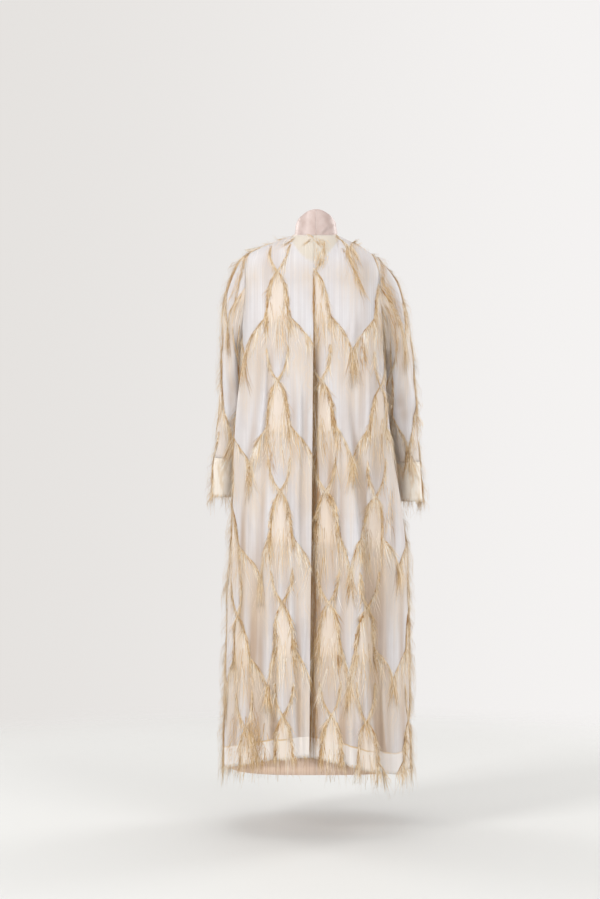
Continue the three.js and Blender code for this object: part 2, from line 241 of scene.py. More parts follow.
def ripples(x, down):
    # faint uneven vertical ripples of crisp cloth
    # waves across, waves along, phase, height
    waves = (
        (0.113, 0.0021, 0.7, 0.5),
        (0.067, 0.0034, 2.1, 0.8),
        (0.171, 0.0052, 4.0, 0.25),
        (0.041, 0.0011, 1.3, 1.1),
    )
    height = 0
    for across, along, phase, tall in waves:
        height = height + tall * np.sin(x * across + phase + 2.2 * np.sin(down * along * 2 + phase * 3))
    return height * smooth((down - 90) / 300)


def topEdgePoint(side, face, u):
    turn = clamp01(u / cut["neckShare"]) * math.pi / 2
    drop = (cut["neckDropBack"] if face > 0 else cut["neckDropFront"]) * np.cos(turn) ** 2
    onNeck = [side * cut["neckHalfWidth"] * np.sin(turn), face * cut["neckHalfDepth"] * np.cos(turn), -drop]
    tipAcross, tipDown = cut["tipLeft"] if side > 0 else cut["tipRight"]
    t = clamp01((u - cut["neckShare"]) / (1 - cut["neckShare"]))
    onShoulder = [side * mix(cut["neckHalfWidth"], tipAcross, t), cut["seamY"] * t, -tipDown * t**1.2]
    atNeck = u < cut["neckShare"]
    return np.stack([np.where(atNeck, a, b) for a, b in zip(onNeck, onShoulder)], -1)


def bodyPoint(side, face, u, down, relief):
    # relief is none on the lining, edges for the organza laid smooth, folds, or fine with the small creases
    depth = tableValue(sections, "back" if face > 0 else "front", down)
    centreAngle = np.arctan2(depth, centreEdge(side, face, down))
    if relief == "none" and face > 0:
        centreAngle = np.full(np.shape(depth), math.pi / 2)
    p = sectionPoint(side, face, mix(centreAngle, armholeAngle(side, down), u), down)
    if relief in ("none", "edges"):
        return p
    share = np.abs(p[..., 1] - cut["seamY"]) / depth
    flatness = smooth((share - cut["foldFrom"]) / (cut["foldTo"] - cut["foldFrom"]))
    height = flatness * foldHeight(folds[face], p[..., 0], down, cut["foldFadeIn"])
    if relief == "fine":
        height = height + flatness * creaseHeight(creases[face], p[..., 0], down)
        height = height + mix(0.4, 1, flatness) * ripples(p[..., 0] + 37 * face, down)
    p[..., 1] += face * height
    if face > 0 and side < 0:
        p[..., 1] -= pleatDepth(p[..., 0], down)
    return p


def panelPoint(side, face, u, v, relief="fine", bottom=None):
    # v runs 0 to 1 over the yoke and 1 to 2 down to the hem
    u, v = np.broadcast_arrays(np.asarray(u, float), np.asarray(v, float))
    centre = cut["hemCentreBack"] if face > 0 else cut["hemCentreFront"]
    run = cut["hemRunLeft"] if side > 0 else cut["hemRunRight"]
    hem = mix(centre, cut["hemSides"], smooth(u * run)) if bottom is None else bottom
    down = mix(cut["yokeDown"], hem, np.maximum(v - 1, 0))
    body = bodyPoint(side, face, u, down, relief)
    start = topEdgePoint(side, face, u)
    spread = (1 if face > 0 else 0.5) * clamp01(1 - u / cut["neckShare"]) ** 2
    start[..., 0] += body[..., 0] * spread
    turn = np.minimum(v, 1) * math.pi / 2
    level = np.sin(turn)[..., None]
    yoke = mix(start, body, level)
    yoke[..., 2] = mix(start[..., 2], body[..., 2], 1 - np.cos(turn))
    points = np.where((v < 1)[..., None], yoke, body)
    if relief == "fine":
        drop = 1.6 * np.sin(points[..., 0] * 0.031 + face) + 0.9 * np.sin(points[..., 0] * 0.083 + 1.3 * side)
        points[..., 2] -= drop * smooth((v - 1.6) / 0.4) * smooth(u / 0.08) * smooth((1 - u) / 0.08)
    return points


# each ring: place and drop of its outer side, of its inner side, and half its depth
sleeveRings = {
    1: (
        (208, 76, 190, 315, 66),
        (225, 110, 192, 323, 65),
        (238, 150, 191, 338, 63),
        (245, 215, 189, 366, 60),
        (248, 300, 187, 402, 56),
        (250, 400, 184, 455, 52),
        (256, 490, 190, 512, 50),
        (268, 582, 204, 588, 49),
        (277, 686, 213, 686, 47),
    ),
    -1: (
        (184, 80, 174, 315, 66),
        (204, 106, 178, 323, 65),
        (222, 142, 178, 338, 63),
        (238, 200, 177, 368, 60),
        (250, 292, 176, 408, 56),
        (260, 400, 180, 462, 52),
        (266, 500, 192, 524, 50),
        (273, 592, 209, 598, 49),
        (282, 697, 221, 697, 47),
    ),
}
armholeShare = {1: 0.3, 2: 0.1}  # how much the first rings keep of the armhole's outline
armholeDowns = (175, 220, 262, 292, 310)
sleeveBelow = 75  # how far the guide for the cuff's threads goes below it


def armholeRing(side, turn):
    # from the shoulder tip down the back to the underarm and up the front
    span = cut["hemSides"] - cut["yokeDown"]
    levels = [0, 0.2, 0.4, 0.6, 0.8, 1] + [1 + (down - cut["yokeDown"]) / span for down in armholeDowns]
    turn = turn % 1
    station = np.minimum(turn, 1 - turn) * 2 * (len(levels) - 1)
    level = np.interp(station, np.arange(len(levels)), levels)
    back = panelPoint(side, 1, 1.0, level, "folds")
    front = panelPoint(side, -1, 1.0, level, "folds")
    return np.where((turn <= 0.5)[..., None], back, front)


def sleeveRing(side, level, turn):
    start = armholeRing(side, turn)
    start[..., 0] += side * 0.6
    if level == 0:
        return start
    outer, outerDown, inner, innerDown, halfDepth = sleeveRings[side][level - 1]
    angle = turn * 2 * math.pi
    x = (outer + inner) / 2 + (outer - inner) / 2 * np.cos(angle)
    z = -(outerDown + innerDown) / 2 - (outerDown - innerDown) / 2 * np.cos(angle)
    ring = np.stack([side * x, cut["seamY"] + halfDepth * np.sin(angle), z], -1)
    return mix(ring, start, armholeShare.get(level, 0))


def sleevePoint(side, turn, v, fine=True):
    turn, v = np.broadcast_arrays(np.asarray(turn, float), np.asarray(v, float))
    below, v = np.maximum(v - 9, 0), np.minimum(v, 9)
    rings = np.stack([sleeveRing(side, k, turn) for k in range(10)])
    i = np.clip(np.floor(v).astype(int), 0, 8)
    t = (v - i)[..., None]

    def ringAt(k):
        return np.take_along_axis(rings, np.clip(k, 0, 9)[None, ..., None], 0)[0]

    a, b = ringAt(i), ringAt(i + 1)
    slopeA = np.where((i > 0)[..., None], (b - ringAt(i - 1)) / 2, b - a)
    slopeB = np.where((i < 8)[..., None], (ringAt(i + 2) - a) / 2, b - a)
    rise = b - a
    p = a + t * slopeA + t**2 * (3 * rise - 2 * slopeA - slopeB) + t**3 * (slopeA + slopeB - 2 * rise)
    if fine:
        angle = turn * 2 * math.pi
        wave = 1.6 * np.sin(angle * 3 + 0.35 * v * v + side) + 1.1 * np.sin(angle * 7 - 0.9 * v)
        wave = wave * smooth(v / 2) * smooth((8.2 - v) / 1.5)
        outward = np.stack([side * np.cos(angle), np.sin(angle), 0 * angle], -1)
        p = p + outward * wave[..., None]
    p[..., 2] -= below * sleeveBelow
    return p


# Meshes


def gridNormals(points, ring=False):
    # unit normals of a grid of rows and columns
    if ring:
        padded = np.concatenate([points[:, -2:-1], points, points[:, 1:2]], 1)
        across = (padded[:, 2:] - padded[:, :-2]) / 2
    else:
        across = np.gradient(points, axis=1)
    down = np.gradient(points, axis=0)
    n = np.cross(across, down)
    return n / np.maximum(np.linalg.norm(n, axis=-1, keepdims=True), 1e-9)


def placeObject(name, data):
    obj = bpy.data.objects.new(name, data)
    bpy.context.scene.collection.objects.link(obj)
    return obj


def newObject(name, vertices, polygons, layers=None, smoothShade=True, joined=None):
    # joined maps each vertex to the one that it shares a place with, for a tube's seam
    mesh = bpy.data.meshes.new(name)
    polygons = np.asarray(polygons, np.int32)
    used = polygons if joined is None else joined[polygons]
    kept, used = np.unique(used, return_inverse=True)
    mesh.vertices.add(len(kept))
    mesh.vertices.foreach_set("co", np.asarray(vertices, np.float32)[kept].ravel())
    corners = polygons.shape[1]
    mesh.loops.add(polygons.size)
    mesh.loops.foreach_set("vertex_index", used.astype(np.int32).ravel())
    mesh.polygons.add(len(polygons))
    mesh.polygons.foreach_set("loop_start", np.arange(0, polygons.size, corners, dtype=np.int32))
    mesh.update(calc_edges=True)
    for layer, values in (layers or {}).items():
        uv = mesh.uv_layers.new(name=layer)
        uv.data.foreach_set("uv", np.asarray(values, np.float32)[polygons.ravel()].ravel())
    mesh.polygons.foreach_set("use_smooth", np.full(len(polygons), smoothShade))
    mesh.validate()
    return placeObject(name, mesh)


def gridQuads(rows, columns, offset=0):
    r, c = np.meshgrid(np.arange(rows - 1), np.arange(columns - 1), indexing="ij")
    a = (r * columns + c).ravel() + offset
    return np.stack([a, a + 1, a + 1 + columns, a + columns], 1)


def shell(name, points, layers, thickness, outward, ring=False):
    # closed thin cloth between the grid and its copy moved inwards. outward is 1 where the grid's normal points out.
    rows, columns = points.shape[:2]
    normals = gridNormals(points, ring) * outward
    inner = points - normals * thickness
    vertices = np.concatenate([points.reshape(-1, 3), inner.reshape(-1, 3)]) * mm
    count = rows * columns
    front = gridQuads(rows, columns)
    back = gridQuads(rows, columns, count)[:, ::-1]
    index = np.arange(count).reshape(rows, columns)
    rims = [(index[0], False), (index[-1], True)]
    if not ring:
        rims += [(index[:, 0], True), (index[:, -1], False)]
    quads = [front, back]
    for line, flipped in rims:
        strip = np.stack([line[:-1], line[:-1] + count, line[1:] + count, line[1:]], 1)
        quads.append(strip[:, ::-1] if flipped else strip)
    quads = np.concatenate(quads)
    if outward < 0:
        quads = quads[:, ::-1]
    uvs = {key: np.concatenate([value.reshape(-1, 2)] * 2) for key, value in layers.items()}
    joined = None
    if ring:
        ringIndex = index.copy()
        ringIndex[:, -1] = ringIndex[:, 0]
        joined = np.concatenate([ringIndex.ravel(), ringIndex.ravel() + count])
    return newObject(name, vertices, quads, uvs, joined=joined)


def arcAcross(points):
    step = np.linalg.norm(np.diff(points, axis=1), axis=-1)
    return np.concatenate([np.zeros((len(points), 1)), np.cumsum(step, 1)], 1)


def arcDown(points):
    step = np.linalg.norm(np.diff(points, axis=0), axis=-1)
    return np.concatenate([np.zeros((1, points.shape[1])), np.cumsum(step, 0)], 0)


# The pattern: columns of closed leaves, and swags that hang between them from leaf to leaf and meet in a V. Each row
# is a column, with its distance from the centre line at five heights and the drop of its first point. Leaf columns
# have odd numbers and V columns have even ones.

pattern = {
    "repeat": 283,
    "stations": 350,
    "spacing": 74,
    "leafZone": 34,  # the cloth beside a leaf column that its leaf takes up
    "leafZoneShare": 0.62,
    "vPhase": 0.78,  # the V's drop below the leaf's point, in repeats
    "armStart": 0.39,
    "armFrom": 0.42,
    "armCurve": 1.6,
}
leafPoints = (
    (0, 0),
    (0.03, 0.1),
    (0.07, 0.2),
    (0.13, 0.29),
    (0.22, 0.36),
    (0.38, 0.42),
    (0.6, 0.43),
    (0.72, 0.41),
    (0.83, 0.35),
    (0.9, 0.26),
    (0.96, 0.12),
    (1, 0),
)
patternColumns = {
    (1, 1): (
        (-180, -176, -170, -160, -150, 328),
        (-92, -88, -84, -76, -70, 100),
        (-8, -4, 1, 6, 12, 328),
        (100, 101, 92, 86, 88, 100),
        (212, 198, 163, 124, 124, 330),
        (296, 290, 262, 210, 176, 138),
        (382, 378, 350, 300, 258, 350),
        (468, 464, 436, 386, 344, 130),
        (554, 550, 522, 472, 430, 340),
    ),
    (-1, 1): (
        (-92, -80, -62, -52, -44, 328),
        (-8, 10, 26, 34, 42, 100),
        (94, 93, 90, 84, 88, 320),
        (200, 180, 152, 122, 132, 116),
        (290, 272, 244, 212, 196, 308),
        (376, 362, 336, 302, 276, 130),
        (462, 450, 424, 390, 362, 340),
        (548, 536, 510, 476, 448, 100),
    ),
}


def plainColumns(start, spread, first):
    # evenly spaced columns, from a V column near the centre outwards
    rows = []
    for k in range(8):
        across = start + pattern["spacing"] * k
        rows.append(tuple(across + spread * station for station in range(5)) + (first + (0 if k % 2 else 228),))
    return tuple(rows)


patternColumns[(1, -1)] = plainColumns(-52, 9, 96)
patternColumns[(-1, -1)] = plainColumns(-34, 8, 118)
sleeveColumnShift = {1: (75, 46), -1: (62, 78)}


def sleeveColumnsOf(side):
    shift, first = sleeveColumnShift[side]
    return [
        (shift + pattern["spacing"] * k,) * 5 + (first + (0 if k % 2 else 221),) for k in range(-4, 5)
    ]


def gridOf(rows):
    rows = np.array(rows, float)
    dropped = np.arange(len(rows)) % 2 == 0
    return {"across": rows[:, :5], "level": rows[:, 5] - dropped * pattern["vPhase"] * pattern["repeat"]}


def columnAcross(grid, column, down):
    values = grid["across"][np.clip(column, 0, len(grid["across"]) - 1)]
    place = np.clip(np.asarray(down) / pattern["stations"], 0, 4)
    i = np.minimum(place.astype(int), 3)
    a = np.take_along_axis(values, i[..., None], -1)[..., 0]
    b = np.take_along_axis(values, i[..., None] + 1, -1)[..., 0]
    return mix(a, b, place - i)


def leafZone(gap):
    return np.minimum(pattern["leafZone"], pattern["leafZoneShare"] * gap)


def shareOf(distance, gap):
    # 0 on the leaf column, a half at the edge of the leaf's zone, and 1 on the V column
    zone = leafZone(gap)
    return np.where(distance < zone, distance / zone / 2, 0.5 + (distance - zone) / (gap - zone) / 2)


def distanceOf(share, gap):
    zone = leafZone(gap)
    return np.where(share < 0.5, share * 2 * zone, zone + (share * 2 - 1) * (gap - zone))


def clothToPattern(grid, across, down):
    # column number with its fraction, and repeats below the first leaf's point
    count = len(grid["level"])
    lines = np.stack([columnAcross(grid, np.full(np.shape(down), k), down) for k in range(count)], -1)
    i = np.clip(np.sum(lines <= across[..., None], -1) - 1, 0, count - 2)
    a = np.take_along_axis(lines, i[..., None], -1)[..., 0]
    b = np.take_along_axis(lines, i[..., None] + 1, -1)[..., 0]
    gap, r = b - a, clamp01((across - a) / (b - a))
    onLeaf = i % 2 == 1
    share = shareOf(np.where(onLeaf, r, 1 - r) * gap, gap)
    level = mix(grid["level"][i], grid["level"][i + 1], r)
    return i + np.where(onLeaf, share, 1 - share), (down - level) / pattern["repeat"]


def patternToCloth(grid, column, repeat):
    i = np.clip(np.floor(column).astype(int), 0, len(grid["level"]) - 2)
    onLeaf = i % 2 == 1
    share = np.where(onLeaf, column - i, 1 - (column - i))
    r = column - i
    for _ in range(3):  # the line's place depends on the drop, so it is found step by step
        down = mix(grid["level"][i], grid["level"][i + 1], r) + repeat * pattern["repeat"]
        a, b = columnAcross(grid, i, down), columnAcross(grid, i + 1, down)
        distance = distanceOf(share, b - a) / (b - a)
        r = np.where(onLeaf, distance, 1 - distance)
    return mix(a, b, r), down


def leafWidth(p):
    places, widths = zip(*leafPoints)
    return np.interp(p, places, widths)


def armPhase(share):
    reach = clamp01((share - pattern["armFrom"]) / (1 - pattern["armFrom"]))
    return mix(pattern["armStart"], pattern["vPhase"], 1 - (1 - reach) ** (1 / pattern["armCurve"]))


# Node helpers


def socketOf(tree, value, target):
    if isinstance(value, bpy.types.NodeSocket):
        tree.links.new(value, target)
    elif value is not None:
        target.default_value = value


def addNode(tree, kind, inputs=None, **settings):
    node = tree.nodes.new(kind)
    for key, value in settings.items():
        setattr(node, key, value)
    for key, value in (inputs or {}).items():
        socketOf(tree, value, node.inputs[key])
    return node


def maths(tree, operation, *values, clamp=False):
    node = addNode(tree, "ShaderNodeMath", dict(enumerate(values)), operation=operation, use_clamp=clamp)
    return node.outputs[0]


def ramp(tree, value, low, high):
    # 0 below low, 1 above high, smooth between. low may be above high.
    limits = (value, min(low, high), max(low, high), float(low > high), float(low <= high))
    node = addNode(tree, "ShaderNodeMapRange", dict(enumerate(limits)), interpolation_type="SMOOTHSTEP")
    return node.outputs[0]


def blendColour(tree, share, a, b):
    return addNode(tree, "ShaderNodeMix", {0: share, 6: a, 7: b}, data_type="RGBA").outputs[2]


def noise(tree, vector, scale, detail=3.0, roughness=0.55):
    inputs = {"Vector": vector, "Scale": scale, "Detail": detail, "Roughness": roughness}
    return addNode(tree, "ShaderNodeTexNoise", inputs).outputs[0]


def stretched(tree, vector, scale):
    return addNode(tree, "ShaderNodeMapping", {"Vector": vector, "Scale": scale}).outputs[0]


def split(tree, vector):
    return addNode(tree, "ShaderNodeSeparateXYZ", {0: vector}).outputs


def colour(red, green, blue):
    def linear(value):
        value /= 255
        return value / 12.92 if value <= 0.04045 else ((value + 0.055) / 1.055) ** 2.4

    return (linear(red), linear(green), linear(blue), 1)


def newGroup(name, kind, inputs, outputs):
    tree = bpy.data.node_groups.new(name, kind)
    for socketName, socketType, default in inputs:
        item = tree.interface.new_socket(socketName, in_out="INPUT", socket_type=socketType)
        if default is not None:
            item.default_value = default
    for socketName, socketType in outputs:
        tree.interface.new_socket(socketName, in_out="OUTPUT", socket_type=socketType)
    return tree, tree.nodes.new("NodeGroupInput").outputs, tree.nodes.new("NodeGroupOutput").inputs


def placeGroup(tree, group, values):
    return addNode(tree, "ShaderNodeGroup", values, node_tree=group).outputs


def uvOf(tree, name):
    return addNode(tree, "ShaderNodeUVMap", uv_map=name).outputs[0]


def attributeOf(tree, name):
    return addNode(tree, "ShaderNodeAttribute", attribute_name=name).outputs


# Shader groups


def buildWeave():
    # a plain weave of fine threads, with the slubs and streaks of crisp cloth
    tree, inputs, outputs = newGroup(
        "clothWeave",
        "ShaderNodeTree",
        (("Plane", "NodeSocketVector", None), ("Threads per metre", "NodeSocketFloat", 1100.0)),
        (("Height", "NodeSocketFloat"), ("Streaks", "NodeSocketFloat")),
    )
    parts = split(tree, inputs["Plane"])
    waves = []
    for axis in (0, 1):
        phase = maths(tree, "MULTIPLY", maths(tree, "MULTIPLY", parts[axis], inputs[1]), math.pi)
        waves.append(maths(tree, "ABSOLUTE", maths(tree, "SINE", phase)))
    woven = maths(tree, "MAXIMUM", *waves)
    warp = noise(tree, stretched(tree, inputs["Plane"], (330, 2.2, 1)), 1.0, 2.0)
    weft = noise(tree, stretched(tree, inputs["Plane"], (4, 300, 1)), 1.0, 2.0)
    streaks = maths(tree, "MULTIPLY_ADD", weft, 0.08, maths(tree, "MULTIPLY", warp, 0.92))
    height = maths(tree, "MULTIPLY_ADD", woven, 0.35, streaks)
    tree.links.new(height, outputs["Height"])
    tree.links.new(streaks, outputs["Streaks"])
    return tree


def buildLeaves():
    # masks of the pattern. Pattern x is the column with its fraction, and y counts repeats.
    tree, inputs, outputs = newGroup(
        "leavesAndSwags",
        "ShaderNodeTree",
        (("Pattern", "NodeSocketVector", None), ("Plane", "NodeSocketVector", None)),
        (("Dense", "NodeSocketFloat"), ("Fringe", "NodeSocketFloat"), ("Line", "NodeSocketFloat")),
    )
    parts = split(tree, inputs["Pattern"])
    share = maths(tree, "PINGPONG", maths(tree, "ADD", parts[0], 1.0), 1.0)
    p = maths(tree, "FRACT", parts[1])
    curve = tree.nodes.new("ShaderNodeFloatCurve")
    points = curve.mapping.curves[0].points
    points[1].location = (1, 0)
    for place, width in leafPoints[1:-1]:
        points.new(place, width)
    for point in points:
        point.handle_type = "VECTOR"
    curve.mapping.update()
    tree.links.new(p, curve.inputs["Value"])
    away = maths(tree, "SUBTRACT", curve.outputs[0], share)
    inside = maths(tree, "GREATER_THAN", away, 0.0)
    outside = maths(tree, "SUBTRACT", 1.0, inside)
    reach = maths(tree, "SUBTRACT", share, pattern["armFrom"])
    reach = maths(tree, "DIVIDE", reach, 1 - pattern["armFrom"], clamp=True)
    rest = maths(tree, "POWER", maths(tree, "SUBTRACT", 1.0, reach), 1 / pattern["armCurve"])
    arm = maths(tree, "MULTIPLY_ADD", rest, pattern["armStart"] - pattern["vPhase"], pattern["vPhase"])
    below = maths(tree, "FRACT", maths(tree, "SUBTRACT", p, arm))
    ragged = noise(tree, stretched(tree, inputs["Plane"], (190, 8, 1)), 1.0, 3.0)
    fallLeaf = maths(tree, "MULTIPLY_ADD", ragged, -0.45, p)
    fallArm = maths(tree, "MULTIPLY_ADD", ragged, -0.5, below)
    top = maths(tree, "MULTIPLY", ramp(tree, p, 0.015, 0.06), ramp(tree, p, 0.56, 0.42))
    dense = maths(tree, "MULTIPLY", inside, top)
    inLeaf = maths(tree, "MULTIPLY", ramp(tree, p, 0.34, 0.5), ramp(tree, fallLeaf, 0.72, 0.4))
    underArm = maths(tree, "MULTIPLY", outside, ramp(tree, fallArm, 0.56, 0.1))
    bend = maths(tree, "MULTIPLY_ADD", noise(tree, inputs["Plane"], 11.0, 2.0), 0.09, -0.045)
    bent = addNode(tree, "ShaderNodeVectorMath", {0: inputs["Plane"], 1: bend}).outputs[0]
    strands = ramp(tree, noise(tree, stretched(tree, bent, (400, 14, 1)), 1.0, 3.0), 0.36, 0.66)
    hung = maths(tree, "MAXIMUM", maths(tree, "MULTIPLY", inside, inLeaf), underArm)
    covered = maths(tree, "MULTIPLY", ramp(tree, p, 0.42, 0.5), ramp(tree, p, 0.72, 0.66))
    offLine = maths(tree, "ADD", maths(tree, "ABSOLUTE", away), maths(tree, "MULTIPLY", covered, 0.1))
    leafLine = ramp(tree, offLine, 0.06, 0.015)
    armLine = maths(tree, "MULTIPLY", outside, ramp(tree, below, 0.022, 0.006))
    tree.links.new(dense, outputs["Dense"])
    washed = maths(tree, "MULTIPLY_ADD", strands, 0.5, 0.5)
    tree.links.new(maths(tree, "MULTIPLY", hung, washed), outputs["Fringe"])
    tree.links.new(maths(tree, "MAXIMUM", leafLine, armLine), outputs["Line"])
    return tree


weaveGroup = buildWeave()
leavesGroup = buildLeaves()


def newMaterial(name, **values):
    material = bpy.data.materials.new(name)
    material.use_nodes = True
    tree = material.node_tree
    principled = tree.nodes["Principled BSDF"]
    for key, value in values.items():
        principled.inputs[key.replace("_", " ")].default_value = value
    return material, tree, principled


def addBump(tree, principled, height, strength, distance):
    bump = addNode(tree, "ShaderNodeBump", {"Strength": strength, "Distance": distance, "Height": height})
    tree.links.new(bump.outputs[0], principled.inputs["Normal"])


organza = {
    "bare": colour(250, 250, 252),
    "bareShade": colour(232, 229, 231),
    # hollow is a painted shade colour: the cloth darkens to it in tall streaks, in the hollows between folds and
    # beside the pleat, and a little more towards the hem
    "hollow": colour(194, 171, 151),
    "hem": colour(230, 220, 207),
    "facing": colour(231, 221, 203),
    "tallShadeShare": 0.34,
    "hollowShadeShare": 0.85,
    "lowShare": 0.16,
    "neck": colour(230, 213, 194),
    "fringe": colour(220, 200, 176),
    "line": colour(212, 184, 146),
    "bareAlpha": 0.6,
    "neckAlpha": 0.86,
    "sheen": 0.25,
}


def makeOrganza():
    material, tree, principled = newMaterial("fringedOrganza", Roughness=0.55, Sheen_Weight=organza["sheen"])
    principled.inputs["Specular IOR Level"].default_value = 0.35
    plane = uvOf(tree, "plane")
    trough, band, _ = split(tree, uvOf(tree, "relief"))
    hem = ramp(tree, band, 0.0, 0.03)
    seam = maths(tree, "MULTIPLY", ramp(tree, band, -0.02, 0.02), ramp(tree, band, 0.09, 0.05))
    weave = placeGroup(tree, weaveGroup, {"Plane": plane})
    leaves = placeGroup(tree, leavesGroup, {"Pattern": uvOf(tree, "pattern"), "Plane": plane})
    mottled = noise(tree, plane, 9.0, 4.0)
    bare = blendColour(tree, ramp(tree, mottled, 0.35, 0.7), organza["bare"], organza["bareShade"])
    bare = blendColour(tree, ramp(tree, weave["Streaks"], 0.9, 0.2), bare, organza["bareShade"])
    # painted shade: tall streaks, the relief map's hollows and pleat shadows, and a little more towards the hem darken
    # the bare cloth to the hollow colour
    tall = ramp(tree, noise(tree, stretched(tree, plane, (13, 1.6, 1)), 1.0, 3.0), 0.42, 0.66)
    drop = split(tree, plane)[1]
    low = maths(tree, "MULTIPLY", ramp(tree, drop, 0.65, 1.3), organza["lowShare"])
    deep = maths(tree, "MULTIPLY_ADD", trough, organza["hollowShadeShare"], low)
    hollow = maths(tree, "MULTIPLY_ADD", tall, organza["tallShadeShare"], deep, clamp=True)
    aboveHem = maths(tree, "SUBTRACT", 1.0, maths(tree, "MULTIPLY", hem, 0.6))
    bare = blendColour(tree, maths(tree, "MULTIPLY", hollow, aboveHem), bare, organza["hollow"])
    backed = split(tree, uvOf(tree, "backing"))[0]
    milky = maths(tree, "MULTIPLY", backed, ramp(tree, mottled, 0.0, 0.42))
    bare = blendColour(tree, maths(tree, "MULTIPLY", milky, 0.75), bare, organza["facing"])
    tinted = blendColour(tree, maths(tree, "MULTIPLY", leaves["Dense"], 0.75), bare, organza["neck"])
    hangs = maths(tree, "MULTIPLY", leaves["Fringe"], ramp(tree, drop, 0.05, 0.13))
    hung = blendColour(tree, maths(tree, "MULTIPLY", hangs, 0.72), tinted, organza["fringe"])
    lined = blendColour(tree, maths(tree, "MULTIPLY", leaves["Line"], 0.8), hung, organza["line"])
    banded = blendColour(tree, maths(tree, "MULTIPLY", hem, 0.42), lined, organza["hem"])
    stitched = maths(tree, "MULTIPLY", seam, ramp(tree, mottled, 0.42, 0.58))
    sewn = blendColour(tree, stitched, banded, organza["line"])
    tree.links.new(sewn, principled.inputs["Base Color"])
    dense = leaves["Dense"]
    for cover in (maths(tree, "MULTIPLY", hangs, 0.7), leaves["Line"], hem, maths(tree, "MULTIPLY", hollow, 0.6)):
        dense = maths(tree, "MAXIMUM", dense, cover)
    alpha = maths(tree, "MULTIPLY_ADD", dense, organza["neckAlpha"] - organza["bareAlpha"], organza["bareAlpha"])
    streaked = maths(tree, "MULTIPLY_ADD", weave["Streaks"], 0.1, maths(tree, "SUBTRACT", alpha, 0.05), clamp=True)
    tree.links.new(streaked, principled.inputs["Alpha"])
    height = maths(tree, "MULTIPLY_ADD", maths(tree, "MAXIMUM", dense, seam), 0.8, weave["Height"])
    addBump(tree, principled, height, 0.35, 0.0006)
    return material


def makeDoubledCloth(name, tint, streak, opacity):
    material, tree, principled = newMaterial(name, Roughness=0.6, Sheen_Weight=0.2)
    plane = uvOf(tree, "plane")
    weave = placeGroup(tree, weaveGroup, {"Plane": plane})
    mottled = noise(tree, stretched(tree, plane, (60, 20, 1)), 1.0, 4.0)
    tint = blendColour(tree, ramp(tree, mottled, 0.45, 0.7), tint, streak)
    tree.links.new(tint, principled.inputs["Base Color"])
    alpha = maths(tree, "MULTIPLY_ADD", weave["Streaks"], 0.2, opacity, clamp=True)
    tree.links.new(alpha, principled.inputs["Alpha"])
    addBump(tree, principled, weave["Height"], 0.3, 0.0006)
    return material


def makeSatin():
    material, tree, principled = newMaterial("collarSatin", Roughness=0.42, Sheen_Weight=0.15)
    plane = uvOf(tree, "plane")
    fine = noise(tree, stretched(tree, plane, (900, 160, 1)), 1.0, 2.0)
    broad = noise(tree, plane, 30.0, 3.0)
    tint = blendColour(tree, ramp(tree, broad, 0.35, 0.7), colour(201, 182, 176), colour(190, 169, 161))
    tree.links.new(tint, principled.inputs["Base Color"])
    tree.links.new(maths(tree, "MULTIPLY_ADD", fine, 0.2, 0.32), principled.inputs["Roughness"])
    addBump(tree, principled, maths(tree, "ADD", fine, broad), 0.25, 0.0005)
    return material


def makeLining():
    material, tree, principled = newMaterial("liningCloth", Roughness=0.75, Sheen_Weight=0.1)
    plane = uvOf(tree, "plane")
    weave = placeGroup(tree, weaveGroup, {"Plane": plane, "Threads per metre": 1600.0})
    ribbed = ramp(tree, noise(tree, stretched(tree, plane, (260, 2, 1)), 1.0, 2.0), 0.4, 0.65)
    tint = blendColour(tree, ribbed, colour(226, 201, 182), colour(214, 184, 162))
    tree.links.new(tint, principled.inputs["Base Color"])
    addBump(tree, principled, weave["Height"], 0.3, 0.0006)
    return material


def makeFacing():
    material, tree, principled = newMaterial("facingCloth", Roughness=0.7)
    weave = placeGroup(tree, weaveGroup, {"Plane": uvOf(tree, "plane")})
    tint = blendColour(tree, weave["Streaks"], colour(238, 226, 205), colour(228, 213, 188))
    tree.links.new(tint, principled.inputs["Base Color"])
    addBump(tree, principled, weave["Height"], 0.3, 0.0006)
    return material


thread = {
    "dark": colour(164, 118, 64),
    "middle": colour(224, 193, 147),
    "light": colour(253, 245, 232),
    "clothShare": 0.75,  # how far a thread is lit as the cloth that it lies on
    "lightThrough": 0.95,  # fine threads let most light through to what is behind them
}


def makeThread():
    material, tree, principled = newMaterial("goldThread", Roughness=0.6)
    tone = attributeOf(tree, "tone")["Fac"]
    position = tree.nodes.new("ShaderNodeTexCoord").outputs["Object"]
    flecks = noise(tree, stretched(tree, position, (700, 700, 90)), 1.0, 2.0)
    shade = maths(tree, "MULTIPLY_ADD", flecks, 0.3, maths(tree, "SUBTRACT", tone, 0.15), clamp=True)
    low = blendColour(tree, ramp(tree, shade, 0.0, 0.5), thread["dark"], thread["middle"])
    full = blendColour(tree, ramp(tree, shade, 0.5, 1.0), low, thread["light"])
    tree.links.new(full, principled.inputs["Base Color"])
    own, laid = tree.nodes.new("ShaderNodeNewGeometry").outputs["Normal"], attributeOf(tree, "clothNormal")["Vector"]
    facing = addNode(tree, "ShaderNodeVectorMath", {0: own, 1: laid}, operation="DOT_PRODUCT").outputs["Value"]
    share = maths(tree, "MULTIPLY", ramp(tree, facing, 0.0, 0.3), thread["clothShare"])
    blended = addNode(tree, "ShaderNodeMix", {0: share, 4: own, 5: laid}, data_type="VECTOR").outputs[1]
    unit = addNode(tree, "ShaderNodeVectorMath", {0: blended}, operation="NORMALIZE").outputs[0]
    tree.links.new(unit, principled.inputs["Normal"])
    path = tree.nodes.new("ShaderNodeLightPath").outputs
    light = maths(tree, "MAXIMUM", path["Is Shadow Ray"], path["Is Diffuse Ray"])
    tree.links.new(maths(tree, "MULTIPLY_ADD", light, -thread["lightThrough"], 1.0), principled.inputs["Alpha"])
    return material


